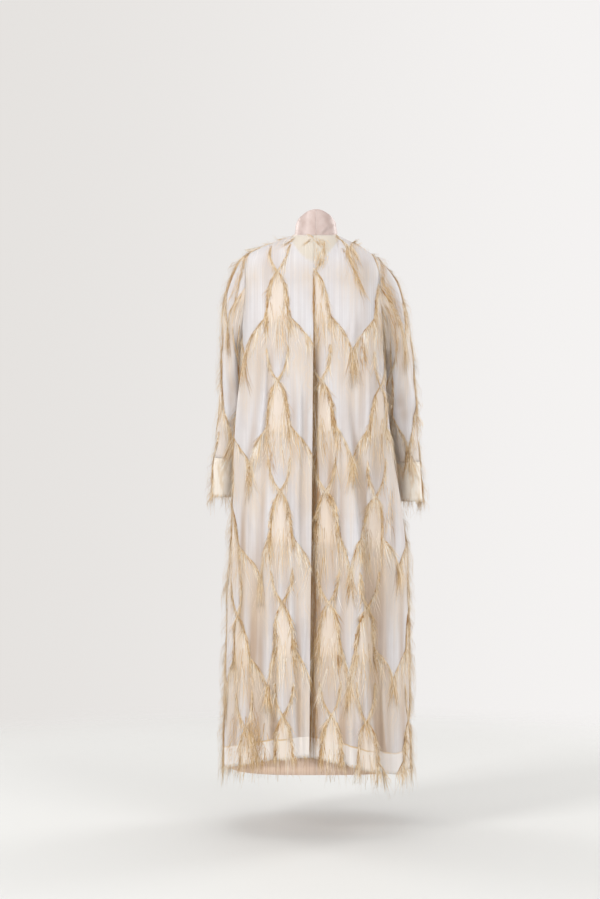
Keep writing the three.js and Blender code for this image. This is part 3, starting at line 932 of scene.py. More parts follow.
organzaMaterial = makeOrganza()
hemMaterial = makeDoubledCloth("doubledOrganza", colour(226, 216, 204), colour(213, 192, 165), 0.76)
cuffMaterial = makeDoubledCloth("cuffOrganza", colour(241, 232, 219), colour(227, 207, 181), 0.7)
satinMaterial = makeSatin()
liningMaterial = makeLining()
facingMaterial = makeFacing()
threadMaterial = makeThread()


# Geometry Nodes: what lies on the cloth is made in the cloth's own plane, then laid on its surface

plane = {"acrossOffset": 0.4, "acrossSpan": 1.1, "downOffset": 0.15, "downSpan": 1.8}


def planeUv(across, down):
    # millimetres in the cloth's plane to the guide's map
    u = (np.asarray(across) * mm + plane["acrossOffset"]) / plane["acrossSpan"]
    v = (np.asarray(down) * mm + plane["downOffset"]) / plane["downSpan"]
    return np.stack(np.broadcast_arrays(u, v), -1)


def named(tree, name, dataType="FLOAT"):
    node = addNode(tree, "GeometryNodeInputNamedAttribute", {"Name": name}, data_type=dataType)
    return node.outputs[0]


def buildLayOnCloth():
    tree, inputs, outputs = newGroup(
        "layOnCloth",
        "GeometryNodeTree",
        (
            ("Cloth", "NodeSocketGeometry", None),
            ("Across", "NodeSocketFloat", 0.0),
            ("Down", "NodeSocketFloat", 0.0),
            ("Height", "NodeSocketFloat", 0.0),
        ),
        (("Position", "NodeSocketVector"), ("Normal", "NodeSocketVector")),
    )
    u = maths(tree, "DIVIDE", maths(tree, "ADD", inputs["Across"], plane["acrossOffset"]), plane["acrossSpan"])
    v = maths(tree, "DIVIDE", maths(tree, "ADD", inputs["Down"], plane["downOffset"]), plane["downSpan"])
    place = addNode(tree, "ShaderNodeCombineXYZ", {"X": u, "Y": v}).outputs[0]
    sampled = []
    for value in ("GeometryNodeInputPosition", "GeometryNodeInputNormal"):
        field = tree.nodes.new(value).outputs[0]
        sample = addNode(
            tree,
            "GeometryNodeSampleUVSurface",
            {
                "Mesh": inputs["Cloth"],
                "UV Map": named(tree, "clothPlane", "FLOAT_VECTOR"),
                "Sample UV": place,
                "Value": field,
            },
            data_type="FLOAT_VECTOR",
        )
        sampled.append(sample.outputs[0])
    position, normal = sampled
    raised = addNode(tree, "ShaderNodeVectorMath", {0: normal, "Scale": inputs["Height"]}, operation="SCALE")
    total = addNode(tree, "ShaderNodeVectorMath", {0: position, 1: raised.outputs[0]}, operation="ADD")
    tree.links.new(total.outputs[0], outputs["Position"])
    tree.links.new(normal, outputs["Normal"])
    return tree


layOnCloth = buildLayOnCloth()


def layGeometry(tree, geometry, cloth, across, down, height):
    # moves a mesh to its place on the cloth and keeps the cloth's normal for its shading
    surface = addNode(tree, "GeometryNodeObjectInfo", {"Object": cloth}).outputs["Geometry"]
    place = {"Cloth": surface, "Across": across, "Down": down, "Height": height}
    laid = addNode(tree, "GeometryNodeGroup", place, node_tree=layOnCloth).outputs
    stored = {"Geometry": geometry, "Name": "clothNormal", "Value": laid["Normal"]}
    kept = addNode(tree, "GeometryNodeStoreNamedAttribute", stored, data_type="FLOAT_VECTOR").outputs[0]
    return addNode(tree, "GeometryNodeSetPosition", {0: kept, "Position": laid["Position"]}).outputs[0]


def endTree(tree, geometry, material, output):
    real = addNode(tree, "GeometryNodeRealizeInstances", {0: geometry}).outputs[0]
    finished = addNode(tree, "GeometryNodeSetMaterial", {0: real, "Material": material})
    tree.links.new(finished.outputs[0], output)
    return tree


def buildStrands():
    # hanging threads: a thin cone at each root, bent in the cloth's plane and laid on the cloth
    tree, inputs, outputs = newGroup(
        "hangingThreads",
        "GeometryNodeTree",
        (
            ("Roots", "NodeSocketGeometry", None),
            ("Cloth", "NodeSocketObject", None),
            ("Thread sides", "NodeSocketInt", 3),
            ("Thread segments", "NodeSocketInt", 2),
            ("Short below", "NodeSocketFloat", 0.024),
            ("Tip share", "NodeSocketFloat", 0.25),
            ("Turn", "NodeSocketFloat", 1.0),
            ("Flatness", "NodeSocketFloat", 0.4),
            ("Material", "NodeSocketMaterial", None),
        ),
        (("Threads", "NodeSocketGeometry"),),
    )
    tip = maths(tree, "MULTIPLY", inputs["Tip share"], 0.5)
    isShort = maths(tree, "LESS_THAN", named(tree, "reach"), inputs["Short below"])
    joined = tree.nodes.new("GeometryNodeJoinGeometry")
    for segments, chosen in ((inputs["Thread segments"], maths(tree, "SUBTRACT", 1.0, isShort)), (1, isShort)):
        shape = {
            "Vertices": inputs["Thread sides"],
            "Side Segments": segments,
            "Radius Top": tip,
            "Radius Bottom": 0.5,
            "Depth": 1.0,
        }
        cone = addNode(tree, "GeometryNodeMeshCone", shape).outputs["Mesh"]
        place = tree.nodes.new("GeometryNodeInputPosition").outputs[0]
        stored = {"Geometry": cone, "Name": "threadShape", "Value": place}
        kept = addNode(tree, "GeometryNodeStoreNamedAttribute", stored, data_type="FLOAT_VECTOR").outputs[0]
        spread = {"Points": inputs["Roots"], "Selection": chosen, "Instance": kept}
        tree.links.new(addNode(tree, "GeometryNodeInstanceOnPoints", spread).outputs[0], joined.inputs[0])
    real = addNode(tree, "GeometryNodeRealizeInstances", {0: joined.outputs[0]}).outputs[0]
    parts = split(tree, named(tree, "threadShape", "FLOAT_VECTOR"))
    t, width = parts[2], named(tree, "width")
    sideways = maths(tree, "MULTIPLY", maths(tree, "MULTIPLY", parts[0], width), inputs["Turn"])
    bent = maths(tree, "MULTIPLY", named(tree, "lean"), maths(tree, "POWER", t, 1.4))
    curl = maths(tree, "MULTIPLY", named(tree, "curl"), maths(tree, "SINE", maths(tree, "MULTIPLY", t, math.pi)))
    across = maths(tree, "ADD", maths(tree, "ADD", named(tree, "across"), curl), maths(tree, "ADD", bent, sideways))
    down = maths(tree, "MULTIPLY_ADD", named(tree, "reach"), t, named(tree, "down"))
    bow = maths(tree, "MULTIPLY", named(tree, "lift"), maths(tree, "SINE", maths(tree, "MULTIPLY", t, math.pi * 0.72)))
    flat = maths(tree, "MULTIPLY", maths(tree, "MULTIPLY", parts[1], width), inputs["Flatness"])
    height = maths(tree, "ADD", flat, maths(tree, "ADD", bow, 0.0012))
    moved = layGeometry(tree, real, inputs["Cloth"], across, down, height)
    return endTree(tree, moved, inputs["Material"], outputs[0])


def buildCords():
    # the pattern's raised lines: a round cord along each path, laid on the cloth
    tree, inputs, outputs = newGroup(
        "patternCords",
        "GeometryNodeTree",
        (
            ("Paths", "NodeSocketGeometry", None),
            ("Cloth", "NodeSocketObject", None),
            ("Cord sides", "NodeSocketInt", 5),
            ("Height", "NodeSocketFloat", 0.001),
            ("Material", "NodeSocketMaterial", None),
        ),
        (("Cords", "NodeSocketGeometry"),),
    )
    across, down = named(tree, "across"), named(tree, "down")
    moved = layGeometry(tree, inputs["Paths"], inputs["Cloth"], across, down, inputs["Height"])
    curve = addNode(tree, "GeometryNodeMeshToCurve", {0: moved}).outputs[0]
    circle = {"Resolution": inputs["Cord sides"], "Radius": 1.0}
    profile = addNode(tree, "GeometryNodeCurvePrimitiveCircle", circle).outputs[0]
    swept = {"Curve": curve, "Profile Curve": profile, "Scale": named(tree, "thickness"), "Fill Caps": True}
    cord = addNode(tree, "GeometryNodeCurveToMesh", swept).outputs[0]
    return endTree(tree, cord, inputs["Material"], outputs[0])


strandTree = buildStrands()
cordTree = buildCords()


def runNodes(name, source, tree, values):
    # evaluates the tree on the source mesh and keeps the result as a plain mesh
    modifier = source.modifiers.new(tree.name, "NODES")
    modifier.node_group = tree
    for item in tree.interface.items_tree:
        if item.in_out == "INPUT" and item.name in values:
            modifier[item.identifier] = values[item.name]
    depsgraph = bpy.context.evaluated_depsgraph_get()
    mesh = bpy.data.meshes.new_from_object(source.evaluated_get(depsgraph), depsgraph=depsgraph)
    source.modifiers.remove(modifier)
    bpy.data.objects.remove(source)
    mesh.name = name
    for attribute in [a.name for a in mesh.attributes]:
        if attribute in ("threadShape", "across", "down", "reach", "lean", "curl", "width", "lift", "thickness"):
            mesh.attributes.remove(mesh.attributes[attribute])
    mesh.polygons.foreach_set("use_smooth", np.full(len(mesh.polygons), True))
    return placeObject(name, mesh)


def pointObject(name, values, edges=()):
    count = len(values["across"])
    mesh = bpy.data.meshes.new(name)
    mesh.vertices.add(count)
    if len(edges):
        mesh.edges.add(len(edges))
        mesh.edges.foreach_set("vertices", np.asarray(edges, np.int32).ravel())
    for key, column in values.items():
        layer = mesh.attributes.new(key, "FLOAT", "POINT")
        layer.data.foreach_set("value", np.asarray(column, np.float32))
    mesh.update()
    return placeObject(name, mesh)


# Surfaces: grids of points, with each point's place in the cloth's own plane

panelSize = {
    "columns": {1: 96, -1: 64},
    "yokeRows": 24,
    "bodyRows": {1: 120, -1: 100},
    "thickness": 0.5,
    "seamGap": 0.3,
}
returnTurns = (0.2, 0.45, 0.7, 0.95)  # columns round the left half's folded edge, as shares of a half turn


def levels(yokeRows, bodyRows, top=0.0, bottom=2.0):
    return np.concatenate([np.linspace(top, 1, yokeRows, endpoint=False), np.linspace(1, bottom, bodyRows)])


def planeOf(side, plain, zeroColumn, yokeRow):
    # distance round the cloth from the centre line, and drop, with the yoke's drop measured along the cloth
    across = arcAcross(plain)
    across = side * plain[:, zeroColumn, :1] + across - across[:, zeroColumn : zeroColumn + 1]
    down = -plain[..., 2]
    arc = arcDown(plain)
    down[:yokeRow] = cut["yokeDown"] - (arc[yokeRow] - arc[:yokeRow])
    return across, down


# shadows of the right half beside the pleat, and where they are lifted (below 0): from, to, first and last drop, depth
shades = ((18, -62, 560, 1300, 0.5), (-66, -122, 640, 1400, -0.85), (-126, -186, 300, 1200, 0.4))
pleatShadow = {"from": 120, "over": 240, "wide": 26, "reach": 1.25, "depth": 1.25}


def shadedHollows(points, trough):
    x, drop = points[..., 0], -points[..., 2]
    beside = smooth(pleatShadow["reach"] - (foldEdge(drop) - x) / pleatShadow["wide"])
    sunk = beside * smooth((drop - pleatShadow["from"]) / pleatShadow["over"])
    trough = np.maximum(trough, pleatShadow["depth"] * sunk)
    for start, stop, top, bottom, depth in shades:
        band = smooth((start - x) / 16) * smooth((x - stop) / 16)
        band = band * smooth((drop - top) / 120) * smooth((bottom - drop) / 90)
        trough = np.maximum(trough, depth * band) if depth > 0 else trough * (1 + depth * band)
    return trough


def panelGrid(side, face, columns, rows, relief="fine", bottom=None, reach=(0, 1), inset=0, hollows=False):
    u = np.linspace(*reach, columns)[None, :]
    v = np.asarray(rows)[:, None]
    points = panelPoint(side, face, u, v, relief, bottom)
    plain = panelPoint(side, face, u, v, "none" if relief == "none" else "edges", bottom)
    zeroColumn = int(np.argmin(np.abs(u[0])))
    yokeRow = int(np.argmin(np.abs(v[:, 0] - 1)))
    across, down = planeOf(side, plain, zeroColumn, yokeRow)
    height = (points - plain)[..., 1] * face
    points = points + np.array((side, face, 0)) * panelSize["seamGap"] / 2
    if np.any(inset):
        points = points - gridNormals(points) * side * face * np.asarray(inset)[..., None]
    if not hollows:
        return points, across, down
    trough = troughOf(height, columns // 15)
    return points, across, down, shadedHollows(points, trough) if face > 0 and side < 0 else trough


def troughOf(height, reach):
    # 1 in the hollows between folds, 0 on their crests; the organza darkens by it as painted shade. reach counts
    # columns.
    columns = np.arange(height.shape[1])
    near = [height[:, np.clip(columns + shift, 0, columns[-1])] for shift in range(-reach, reach + 1)]
    return smooth((np.max(near, 0) - height - 2) / 13)


def clothLayers(across, down, grid=None, relief=None, backing=0):
    # relief holds how deep in a hollow the cloth is, which the organza darkens as painted shade, and how far down its
    # hem band. backing tells where a facing is.
    layers = {"plane": np.stack([across, down], -1) * mm}
    if relief is not None:
        layers["relief"] = np.stack(np.broadcast_arrays(*relief), -1)
        layers["backing"] = np.stack(np.broadcast_arrays(backing + 0 * across, 0), -1)
    if grid is not None:
        layers["pattern"] = np.stack(clothToPattern(grid, across, down), -1)
    return layers


def turnUnder(points, across, down, outward):
    # turns the first column's edge under, the more the further down
    edge, normal = points[:, 0], gridNormals(points)[:, 0] * outward
    along = points[:, 1] - points[:, 0]
    along = along / np.linalg.norm(along, axis=-1, keepdims=True)
    grown = mix(0.08, 1, smooth((down[:, :1] - 60) / 260))
    radius, under = pleat["turnRadius"] * grown, pleat["turnUnder"] * grown
    centre = edge - normal * radius
    extra, placeAcross = [], []
    for turned in returnTurns:
        angle = turned * math.pi
        extra.append(centre + radius * (normal * math.cos(angle) - along * math.sin(angle)))
        placeAcross.append(across[:, :1] - radius * angle)
    for share in (0.3, 1.0):
        extra.append(centre - normal * radius * 1.02 + along * under * share)
        placeAcross.append(across[:, :1] - radius * math.pi - under * share)
    points = np.concatenate([np.stack(extra[::-1], 1), points], 1)
    across = np.concatenate(placeAcross[::-1] + [across], 1)
    down = np.concatenate([down[:, :1]] * len(extra) + [down], 1)
    return points, across, down


def guideObject(name, points, across, down, outward):
    # the smooth cloth that cords and threads are laid on
    rows, columns = points.shape[:2]
    quads = gridQuads(rows, columns)
    obj = newObject(name, points.reshape(-1, 3) * mm, quads if outward > 0 else quads[:, ::-1])
    place = np.concatenate([planeUv(across, down).reshape(-1, 2), np.zeros((rows * columns, 1))], 1)
    layer = obj.data.attributes.new("clothPlane", "FLOAT_VECTOR", "POINT")
    layer.data.foreach_set("vector", place.astype(np.float32).ravel())
    return obj


def insideTest(across, down):
    # tells which places of the plane lie on a surface
    rows, columns = across.shape
    flat = [(a, d, 0.0) for a, d in zip(across.ravel().tolist(), down.ravel().tolist())]
    tree = BVHTree.FromPolygons(flat, gridQuads(rows, columns).tolist())

    def inside(a, d):
        found = [tree.ray_cast((x, y, 1), (0, 0, -1))[0] is not None for x, y in zip(a.tolist(), d.tolist())]
        return np.array(found)

    return inside


# Cords along the pattern's lines

cords = {
    "steps": 26,
    "thin": 0.9,
    "middle": 1.5,
    "thick": 2.1,
    "wander": 2.4,
    "sides": 5,
    "height": 0.5,
    "clearTop": 7,  # how far a cord keeps below the cloth's top edge
    "hidden": (0.46, 0.68),  # where the fringe covers a leaf's sides
    "tones": (0.36, 0.08),
}


def patternLines(grid):
    # every leaf side and swag arm: column, count of repeats, way, and whether it is an arm
    count = len(grid["level"])
    return [
        (column, row, way, arm)
        for column in range(1, count, 2)
        for row in range(-2, 6)
        for way in (-1, 1)
        for arm in (False, True)
        if 0 <= column + way < count
    ]


def lineAt(column, row, way, arm, s):
    # places along a line, s running 0 to 1 downwards
    if not arm:
        return column + way * leafWidth(s), row + s
    share = mix(pattern["armFrom"], 1, s)
    return column + way * share, row + armPhase(share)


def cordObject(name, grid, inside, guide):
    s = np.linspace(0, 1, cords["steps"])
    data = {key: [] for key in ("across", "down", "thickness", "tone")}
    edges, total = [], 0
    for column, row, way, arm in patternLines(grid):
        across, down = patternToCloth(grid, *lineAt(column, row, way, arm, s))
        wander = np.convolve(rng.normal(0, 1, len(s) + 4), np.ones(5) / 5, "valid") * cords["wander"]
        across = across + wander * np.sin(math.pi * s)
        kept = inside(across, down) & inside(across, down - cords["clearTop"])
        kept = kept & (arm | (s < cords["hidden"][0]) | (s > cords["hidden"][1]))
        if arm:
            body = mix(0.8, 0.45, smooth(s * 2)) + 0.3 * smooth((s - 0.7) / 0.2)
            thickness = mix(cords["middle"], cords["thin"], smooth(s * 1.6)) + 0.5 * smooth((s - 0.75) / 0.25)
        else:
            body = smooth(s / 0.1) * smooth((0.52 - s) / 0.16) + 0.25 * smooth((s - 0.7) / 0.15)
            thickness = mix(cords["thin"], cords["thick"], body)
        thickness = thickness * rng.uniform(0.6, 1.4, len(s))
        tone = np.clip(mix(*cords["tones"], body) + rng.normal(0, 0.16, len(s)), 0, 1)
        index = total + np.arange(len(s))
        edges += [(a, b) for a, b, x, y in zip(index[:-1], index[1:], kept[:-1], kept[1:]) if x and y]
        total += len(s)
        for key, values in zip(data, (across * mm, down * mm, thickness * mm, tone)):
            data[key].append(values)
    points = pointObject(name, {key: np.concatenate(values) for key, values in data.items()}, edges)
    values = {"Cloth": guide, "Cord sides": cords["sides"], "Height": cords["height"] * mm, "Material": threadMaterial}
    return runNodes(name, points, cordTree, values)


# Threads: the fringe inside each leaf, under the swags, along the lines, in a clump at each V and at the hems

fringe = {
    "leaf": {"count": 66, "reach": (44, 118), "width": (0.6, 1.7), "clumps": 12, "scatter": 1},
    "arm": {"count": 76, "reach": (22, 110), "width": (0.6, 1.7), "clumps": 12, "scatter": 1},
    "side": {"count": 56, "reach": (16, 48), "width": (0.8, 1.9), "clumps": 8, "scatter": 1},
    "rope": {"count": 110, "reach": (12, 42), "width": (0.9, 2.3), "clumps": 16, "scatter": 2.6},
    "twist": {"count": 60, "reach": (10, 34), "width": (0.8, 1.8), "clumps": 12, "scatter": 1.4},
    "point": {"count": 34, "reach": (22, 70), "width": (0.8, 1.9), "clumps": 6, "scatter": 1.5},
    "crown": {"count": 30, "reach": (22, 76), "width": (0.8, 2.0), "clumps": 6, "scatter": 1.5},
    "clump": {"count": 44, "reach": (40, 106), "width": (0.9, 2.2), "clumps": 5, "scatter": 1.6},
    "fuzz": {"count": 84, "reach": (4, 20), "width": (0.9, 2.2), "clumps": 16, "scatter": 1},
    "hem": {"perMetre": 520, "reach": (8, 64), "width": (0.6, 1.6)},
    "pleat": {"count": 760, "reach": (30, 110), "width": (0.8, 2.0), "wide": 24, "from": 110, "to": 1290},
    "lift": (0.5, 4.6),
    "flyShare": 0.2,
    "flyLift": (5, 20),
    "lightShare": 0.34,
    "shape": {"Thread sides": 3, "Thread segments": 2, "Short below": 0.024, "Tip share": 0.0, "Flatness": 0.4},
    "gather": 0.5,  # how far each thread's tip swings to the middle of its clump
}
# kind, whether on an arm, from and to along the line, outward slant, darker, how far it follows the line
lineFringes = (
    ("fuzz", True, 0, 1, 0, 0.14, 0.3),
    ("fuzz", False, 0, 0.48, 0, 0.2, 0.5),
    ("fuzz", False, 0.7, 1, 0, 0.1, 0.5),
    ("rope", False, 0.02, 0.5, 0, 0.26, 1),
    ("twist", False, 0.68, 1, 0, 0.16, 1),
    ("twist", True, 0, 1, 0, 0.16, 1),
    ("arm", True, 0, 1, 0.1, 0, 0.1),
    ("side", False, 0.03, 0.6, 0.12, 0.16, 0.4),
    ("point", False, 0.72, 1, 0, 0.08, 0.3),
    ("crown", False, 0, 0.2, -0.08, 0.1, 0.4),
    ("clump", True, 0.92, 1, -0.04, 0.24, 0),
)
# ropes and tufts placed one by one: path of across and down places, scatter, count, shortest and longest, tone
tufts = {
    "backRight": (
        (((4, 12), (16, 30)), 7, 60, 8, 26, 0.4),
        (((8, 40), (2, 84)), 5, 60, 8, 28, 0.46),
        (((26, 56), (14, 84)), 6, 40, 10, 30, 0.5),
        (((70, 30), (88, 66), (104, 110), (118, 150)), 3.5, 130, 26, 62, 0.34),
        (((118, 270), (124, 330)), 5, 60, 24, 60, 0.3),
        (((200, 650), (190, 760)), 8, 60, 20, 60, 0.4),
    ),
    "backLeft": (
        (((9, 12), (24, 22)), 5, 30, 8, 22, 0.42),
        (((62, -4), (84, 16)), 4, 50, 8, 26, 0.3),
        (((132, 520), (112, 600)), 6, 50, 24, 66, 0.3),
        (((178, 1240), (166, 1300), (160, 1366)), 18, 430, 20, 54, 0.26),
        (((238, 1240), (246, 1350)), 8, 70, 20, 56, 0.34),
    ),
    "sleeveLeft": (
        (((34, 60), (54, 76), (84, 126), (104, 176)), 3.5, 130, 24, 60, 0.3),
        (((54, 76), (70, 150), (66, 220)), 5, 36, 20, 56, 0.42),
        (((10, 80), (2, 170)), 4, 36, 20, 50, 0.38),
    ),
    "sleeveRight": (
        (((4, 54), (44, 84), (88, 121), (100, 170)), 5, 170, 22, 56, 0.34),
        (((88, 130), (96, 190), (90, 250)), 13, 280, 10, 40, 0.24),
        (((128, 180), (124, 260), (112, 330)), 6, 120, 20, 60, 0.2),
        (((40, 190), (54, 260)), 7, 70, 16, 50, 0.42),
    ),
}
# where the hems' loose threads bunch: place from the centre line and half width
bunches = (
    (-242, 16),
    (-208, 18),
    (-176, 10),
    (-124, 13),
    (-66, 9),
    (-32, 8),
    (8, 5),
    (76, 14),
    (122, 6),
    (154, 26),
    (226, 12),
    (262, 20),
)


def clumped(kind, low=0.0, high=1.0):
    # random places gathered round a few centres, and what each thread takes from its clump
    settings = fringe[kind]
    n, clumps = settings["count"], settings["clumps"]
    centres = np.sort(rng.uniform(low, high, clumps))
    which = rng.integers(0, clumps, n)
    place = np.clip(centres[which] + rng.normal(0, (high - low) / clumps * 0.5, n), low, high)
    tone = rng.normal(0.53, 0.16, clumps)[which] + rng.normal(0, 0.15, n)
    length = clamp01(rng.uniform(0.1, 1, clumps)[which] + rng.normal(0, 0.16, n))
    look = {
        "reach": mix(*settings["reach"], length),
        "slant": rng.normal(0, 0.14, clumps)[which] + rng.normal(0, 0.09, n),
        "shift": rng.normal(0, settings["scatter"], n),
        "tone": np.clip(tone + 0.45 * (rng.random(n) < fringe["lightShare"]), 0, 1),
        "width": rng.uniform(*settings["width"], n),
        "fly": (rng.random(clumps) < fringe["flyShare"])[which],
    }
    return place, centres[which], look


def threadRoots(grid):
    # places of all threads in the cloth's plane, with their reach, lean, tone and width
    parts = {key: [] for key in ("across", "down", "reach", "lean", "tone", "width", "fly")}
    count = len(grid["level"])

    def onCloth(place):
        return patternToCloth(grid, np.clip(place[0], 0, count - 1.001), place[1])

    def add(place, centre, look, slant=0):
        # place and centre each hold a column number and a count of repeats
        across, down = onCloth(place)
        toMiddle = fringe["gather"] * np.clip(onCloth(centre)[0] - across, -14, 14)
        lean = look["reach"] * (look["slant"] + slant) + toMiddle
        values = look | {"across": across + look["shift"], "down": down, "lean": lean}
        for key, column in parts.items():
            column.append(values[key])

    for column in range(1, count, 2):
        for row in range(-2, 6):
            place, centre, look = clumped("leaf", -1, 1)
            p = rng.uniform(0.3, 0.62, len(place)) - 0.06 * place**2
            leafSide = 0.94 * leafWidth(p)
            spots = [(column + value * leafSide, row + p) for value in (place, centre)]
            look["tone"] = look["tone"] - 0.1
            add(*spots, look, 0.1 * place)
            for way in (-1, 1):
                if not 0 <= column + way < count:
                    continue
                body = rng.choice((0.55, 1, 1.5))
                for kind, arm, low, high, outward, darker, follow in lineFringes:
                    s, centre, look = clumped(kind, low, high)
                    spots = [lineAt(column, row, way, arm, value) for value in (s, centre)]
                    before, after = [
                        onCloth(lineAt(column, row, way, arm, np.clip(s + step, 0, 1))) for step in (-0.03, 0.03)
                    ]
                    slope = (after[0] - before[0]) / np.maximum(after[1] - before[1], 0.5)
                    look["tone"] = look["tone"] - darker
                    look["width"] = look["width"] * (body if kind == "rope" else 1)
                    add(*spots, look, way * outward + follow * np.clip(slope, -0.9, 0.9))
    return {key: np.concatenate(values) for key, values in parts.items()}


def pleatRoots():
    # dark threads that hang in the centre back pleat, beside the folded edge; they are fringe and, made dark, also
    # stand in for the pleat's shadow
    settings = fringe["pleat"]
    n = settings["count"]
    down = rng.uniform(settings["from"], settings["to"], n)
    wide = settings["wide"] * (0.14 + 0.86 * smooth((down - 200) / 380)) * (0.75 + 0.25 * np.sin(down / 47))
    return {
        "across": -foldEdge(down) + wide * rng.random(n) ** 1.6,
        "down": down,
        "reach": rng.uniform(*settings["reach"], n),
        "lean": rng.normal(0, 2, n),
        "tone": rng.uniform(-0.1, 0.28, n),
        "width": rng.uniform(*settings["width"], n),
        "fly": np.zeros(n),
    }


def tuftRoots(name):
    found = []
    for path, scatter, count, low, high, tone in tufts.get(name, ()):
        places, along = np.array(path, float), rng.random(count) * (len(path) - 1)
        leg = along.astype(int)
        step = places[leg + 1] - places[leg]
        across, down = (places[leg] + step * (along - leg)[:, None] + rng.normal(0, scatter, (count, 2)) * (1, 0.6)).T
        reach = rng.uniform(low, high, count)
        slope = np.clip(step[:, 0] / step[:, 1], -1.1, 1.1)
        found.append(
            {
                "across": across,
                "down": down,
                "reach": reach,
                "lean": reach * (slope + rng.normal(0, 0.2, count)),
                "tone": tone + rng.normal(0, 0.2, count),
                "width": rng.uniform(0.7, 1.9, count),
                "fly": rng.random(count) < 0.35,
            }
        )
    return found


def hemRoots(edge):
    # edge holds the across and down places of the hem or cuff that loose threads hang from
    edgeAcross, edgeDown = edge
    settings = fringe["hem"]
    low, high = edgeAcross.min() + 1, edgeAcross.max() - 1
    n = int((high - low) * mm * settings["perMetre"])
    across = rng.uniform(low, high, n)
    order = np.argsort(edgeAcross)
    bunch = 0.12 + sum(np.exp(-(((across - middle) / half) ** 2)) for middle, half in bunches)
    return {
        "across": across,
        "down": np.interp(across, edgeAcross[order], edgeDown[order]) - rng.uniform(0, 8, n),
        "reach": mix(*settings["reach"], clamp01(rng.uniform(0.1, 1, n) * bunch)),
        "lean": rng.normal(0, 5, n),
        "tone": np.clip(rng.normal(0.42, 0.2, n), 0, 1),
        "width": rng.uniform(*settings["width"], n),
        "fly": rng.random(n) < fringe["flyShare"],
    }


def threadObject(name, grid, inside, guide, edge, turn, extra=()):
    onPattern = [threadRoots(grid), *extra, *tuftRoots(name)]
    roots = {key: np.concatenate([part[key] for part in onPattern]) for key in onPattern[0]}
    kept = inside(roots["across"], roots["down"])
    hem = hemRoots(edge)
    roots = {key: np.concatenate([values[kept], hem[key]]) for key, values in roots.items()}
    n = len(roots["across"])
    fromMiddle = np.abs(roots["across"])
    outer = smooth((40 - fromMiddle) / 20) if name.startswith("sleeve") else smooth((fromMiddle - 200) / 40)
    flying = (roots["fly"] > 0) | (rng.random(n) < 0.14 * outer)
    lift = np.where(flying, rng.uniform(*fringe["flyLift"], n), rng.uniform(*fringe["lift"], n))
    values = {key: roots[key] * mm for key in ("across", "down", "reach", "lean", "width")}
    values |= {"tone": clamp01(roots["tone"]), "lift": lift * mm, "curl": rng.normal(0, 2.2, n) * mm}
    values["width"] = np.where(flying, 0.75, 1) * values["width"]
    points = pointObject("fringe" + capital(name), values)
    inputs = fringe["shape"] | {"Cloth": guide, "Turn": float(turn), "Material": threadMaterial}
    return runNodes(points.name, points, strandTree, inputs)


def finishPiece(obj, material, slotName, *nodes):
    if material is not None:
        obj.data.materials.clear()
        obj.data.materials.append(material)
    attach(obj, "root")
    if nodes:
        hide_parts(*nodes)
    return obj


# Body: four organza panels with their hems, cords and threads

guideReach = {1: (-0.07, 1.06), -1: (-0.04, 1.06)}
guides = []
title = {1: "Left", -1: "Right"}


def capital(name):
    return name[0].upper() + name[1:]


facing = {"reach": 5 / 12, "depthCentre": 0.74, "depthEnds": 0.3, "inset": 3.2, "top": 0.04, "thickness": 0.8}
hemFrom = 2 - cut["hemBand"] / (cut["hemSides"] - cut["yokeDown"])

for faceName, face in faces.items():
    for sideName, side in sides.items():
        name = faceName + title[side]
        outward = side * face
        grid = gridOf(patternColumns[(side, face)])
        rows = levels(panelSize["yokeRows"], panelSize["bodyRows"][face])
        points, across, down, trough = panelGrid(side, face, panelSize["columns"][face], rows, hollows=True)
        inside = insideTest(across, down)
        hemEdge = across[-1], down[-1]
        if face > 0 and side > 0:
            points, across, down = turnUnder(points, across, down, outward)
            trough = np.concatenate([trough[:, :1]] * (points.shape[1] - trough.shape[1]) + [trough], 1)
        # the trough carries the painted shade of the hollows and, on the back's right half, the painted shadow beside
        # the pleat
        relief = trough, ((rows - hemFrom) / (2 - hemFrom))[:, None]
        u = np.linspace(0, 1, panelSize["columns"][face])[None, :] / facing["reach"]
        edge = mix(facing["depthCentre"], facing["depthEnds"], np.minimum(u, 1) ** 2)
        backing = (face > 0) * smooth((edge - rows[:, None]) / 0.05) * smooth((1 - u) / 0.05)
        backing = np.concatenate([backing[:, :1]] * (points.shape[1] - backing.shape[1]) + [backing], 1)
        panel = shell(name, points, clothLayers(across, down, grid, relief, backing), panelSize["thickness"], outward)
        finishPiece(panel, organzaMaterial, "organza", f"{faceName}_{sideName}")

        hemRows = np.linspace(hemFrom, 1.9996, 7)
        bandPoints, bandAcross, bandDown = panelGrid(side, face, panelSize["columns"][face], hemRows, inset=1.2)
        band = shell("hem" + capital(name), bandPoints, clothLayers(bandAcross, bandDown), 0.5, outward)
        finishPiece(band, hemMaterial, "hem_cloth", f"hem_{faceName}_{sideName}")

        reachDown = 2 + 75 / (cut["hemSides"] - cut["yokeDown"])
        guideRows = levels(20, 170, bottom=reachDown)
        guidePoints = panelGrid(side, face, 110, guideRows, reach=guideReach[face])
        guide = guideObject("guide" + name, *guidePoints, outward)
        guides.append(guide)
        cordPiece = cordObject("cords" + capital(name), grid, inside, guide)
        finishPiece(cordPiece, None, "thread_fringe")
        extra = [pleatRoots()] if name == "backRight" else []
        threads = threadObject(name, grid, inside, guide, hemEdge, outward, extra)
        finishPiece(threads, None, "thread_fringe", f"fringe_{faceName}_{sideName}")

        print("made", name, len(panel.data.polygons), len(cordPiece.data.polygons), len(threads.data.polygons))


# Sleeves and cuffs

sleeveSize = {"columns": 65, "rows": 72, "cuffRows": 10, "thickness": 0.5, "cuffThickness": 1.6}


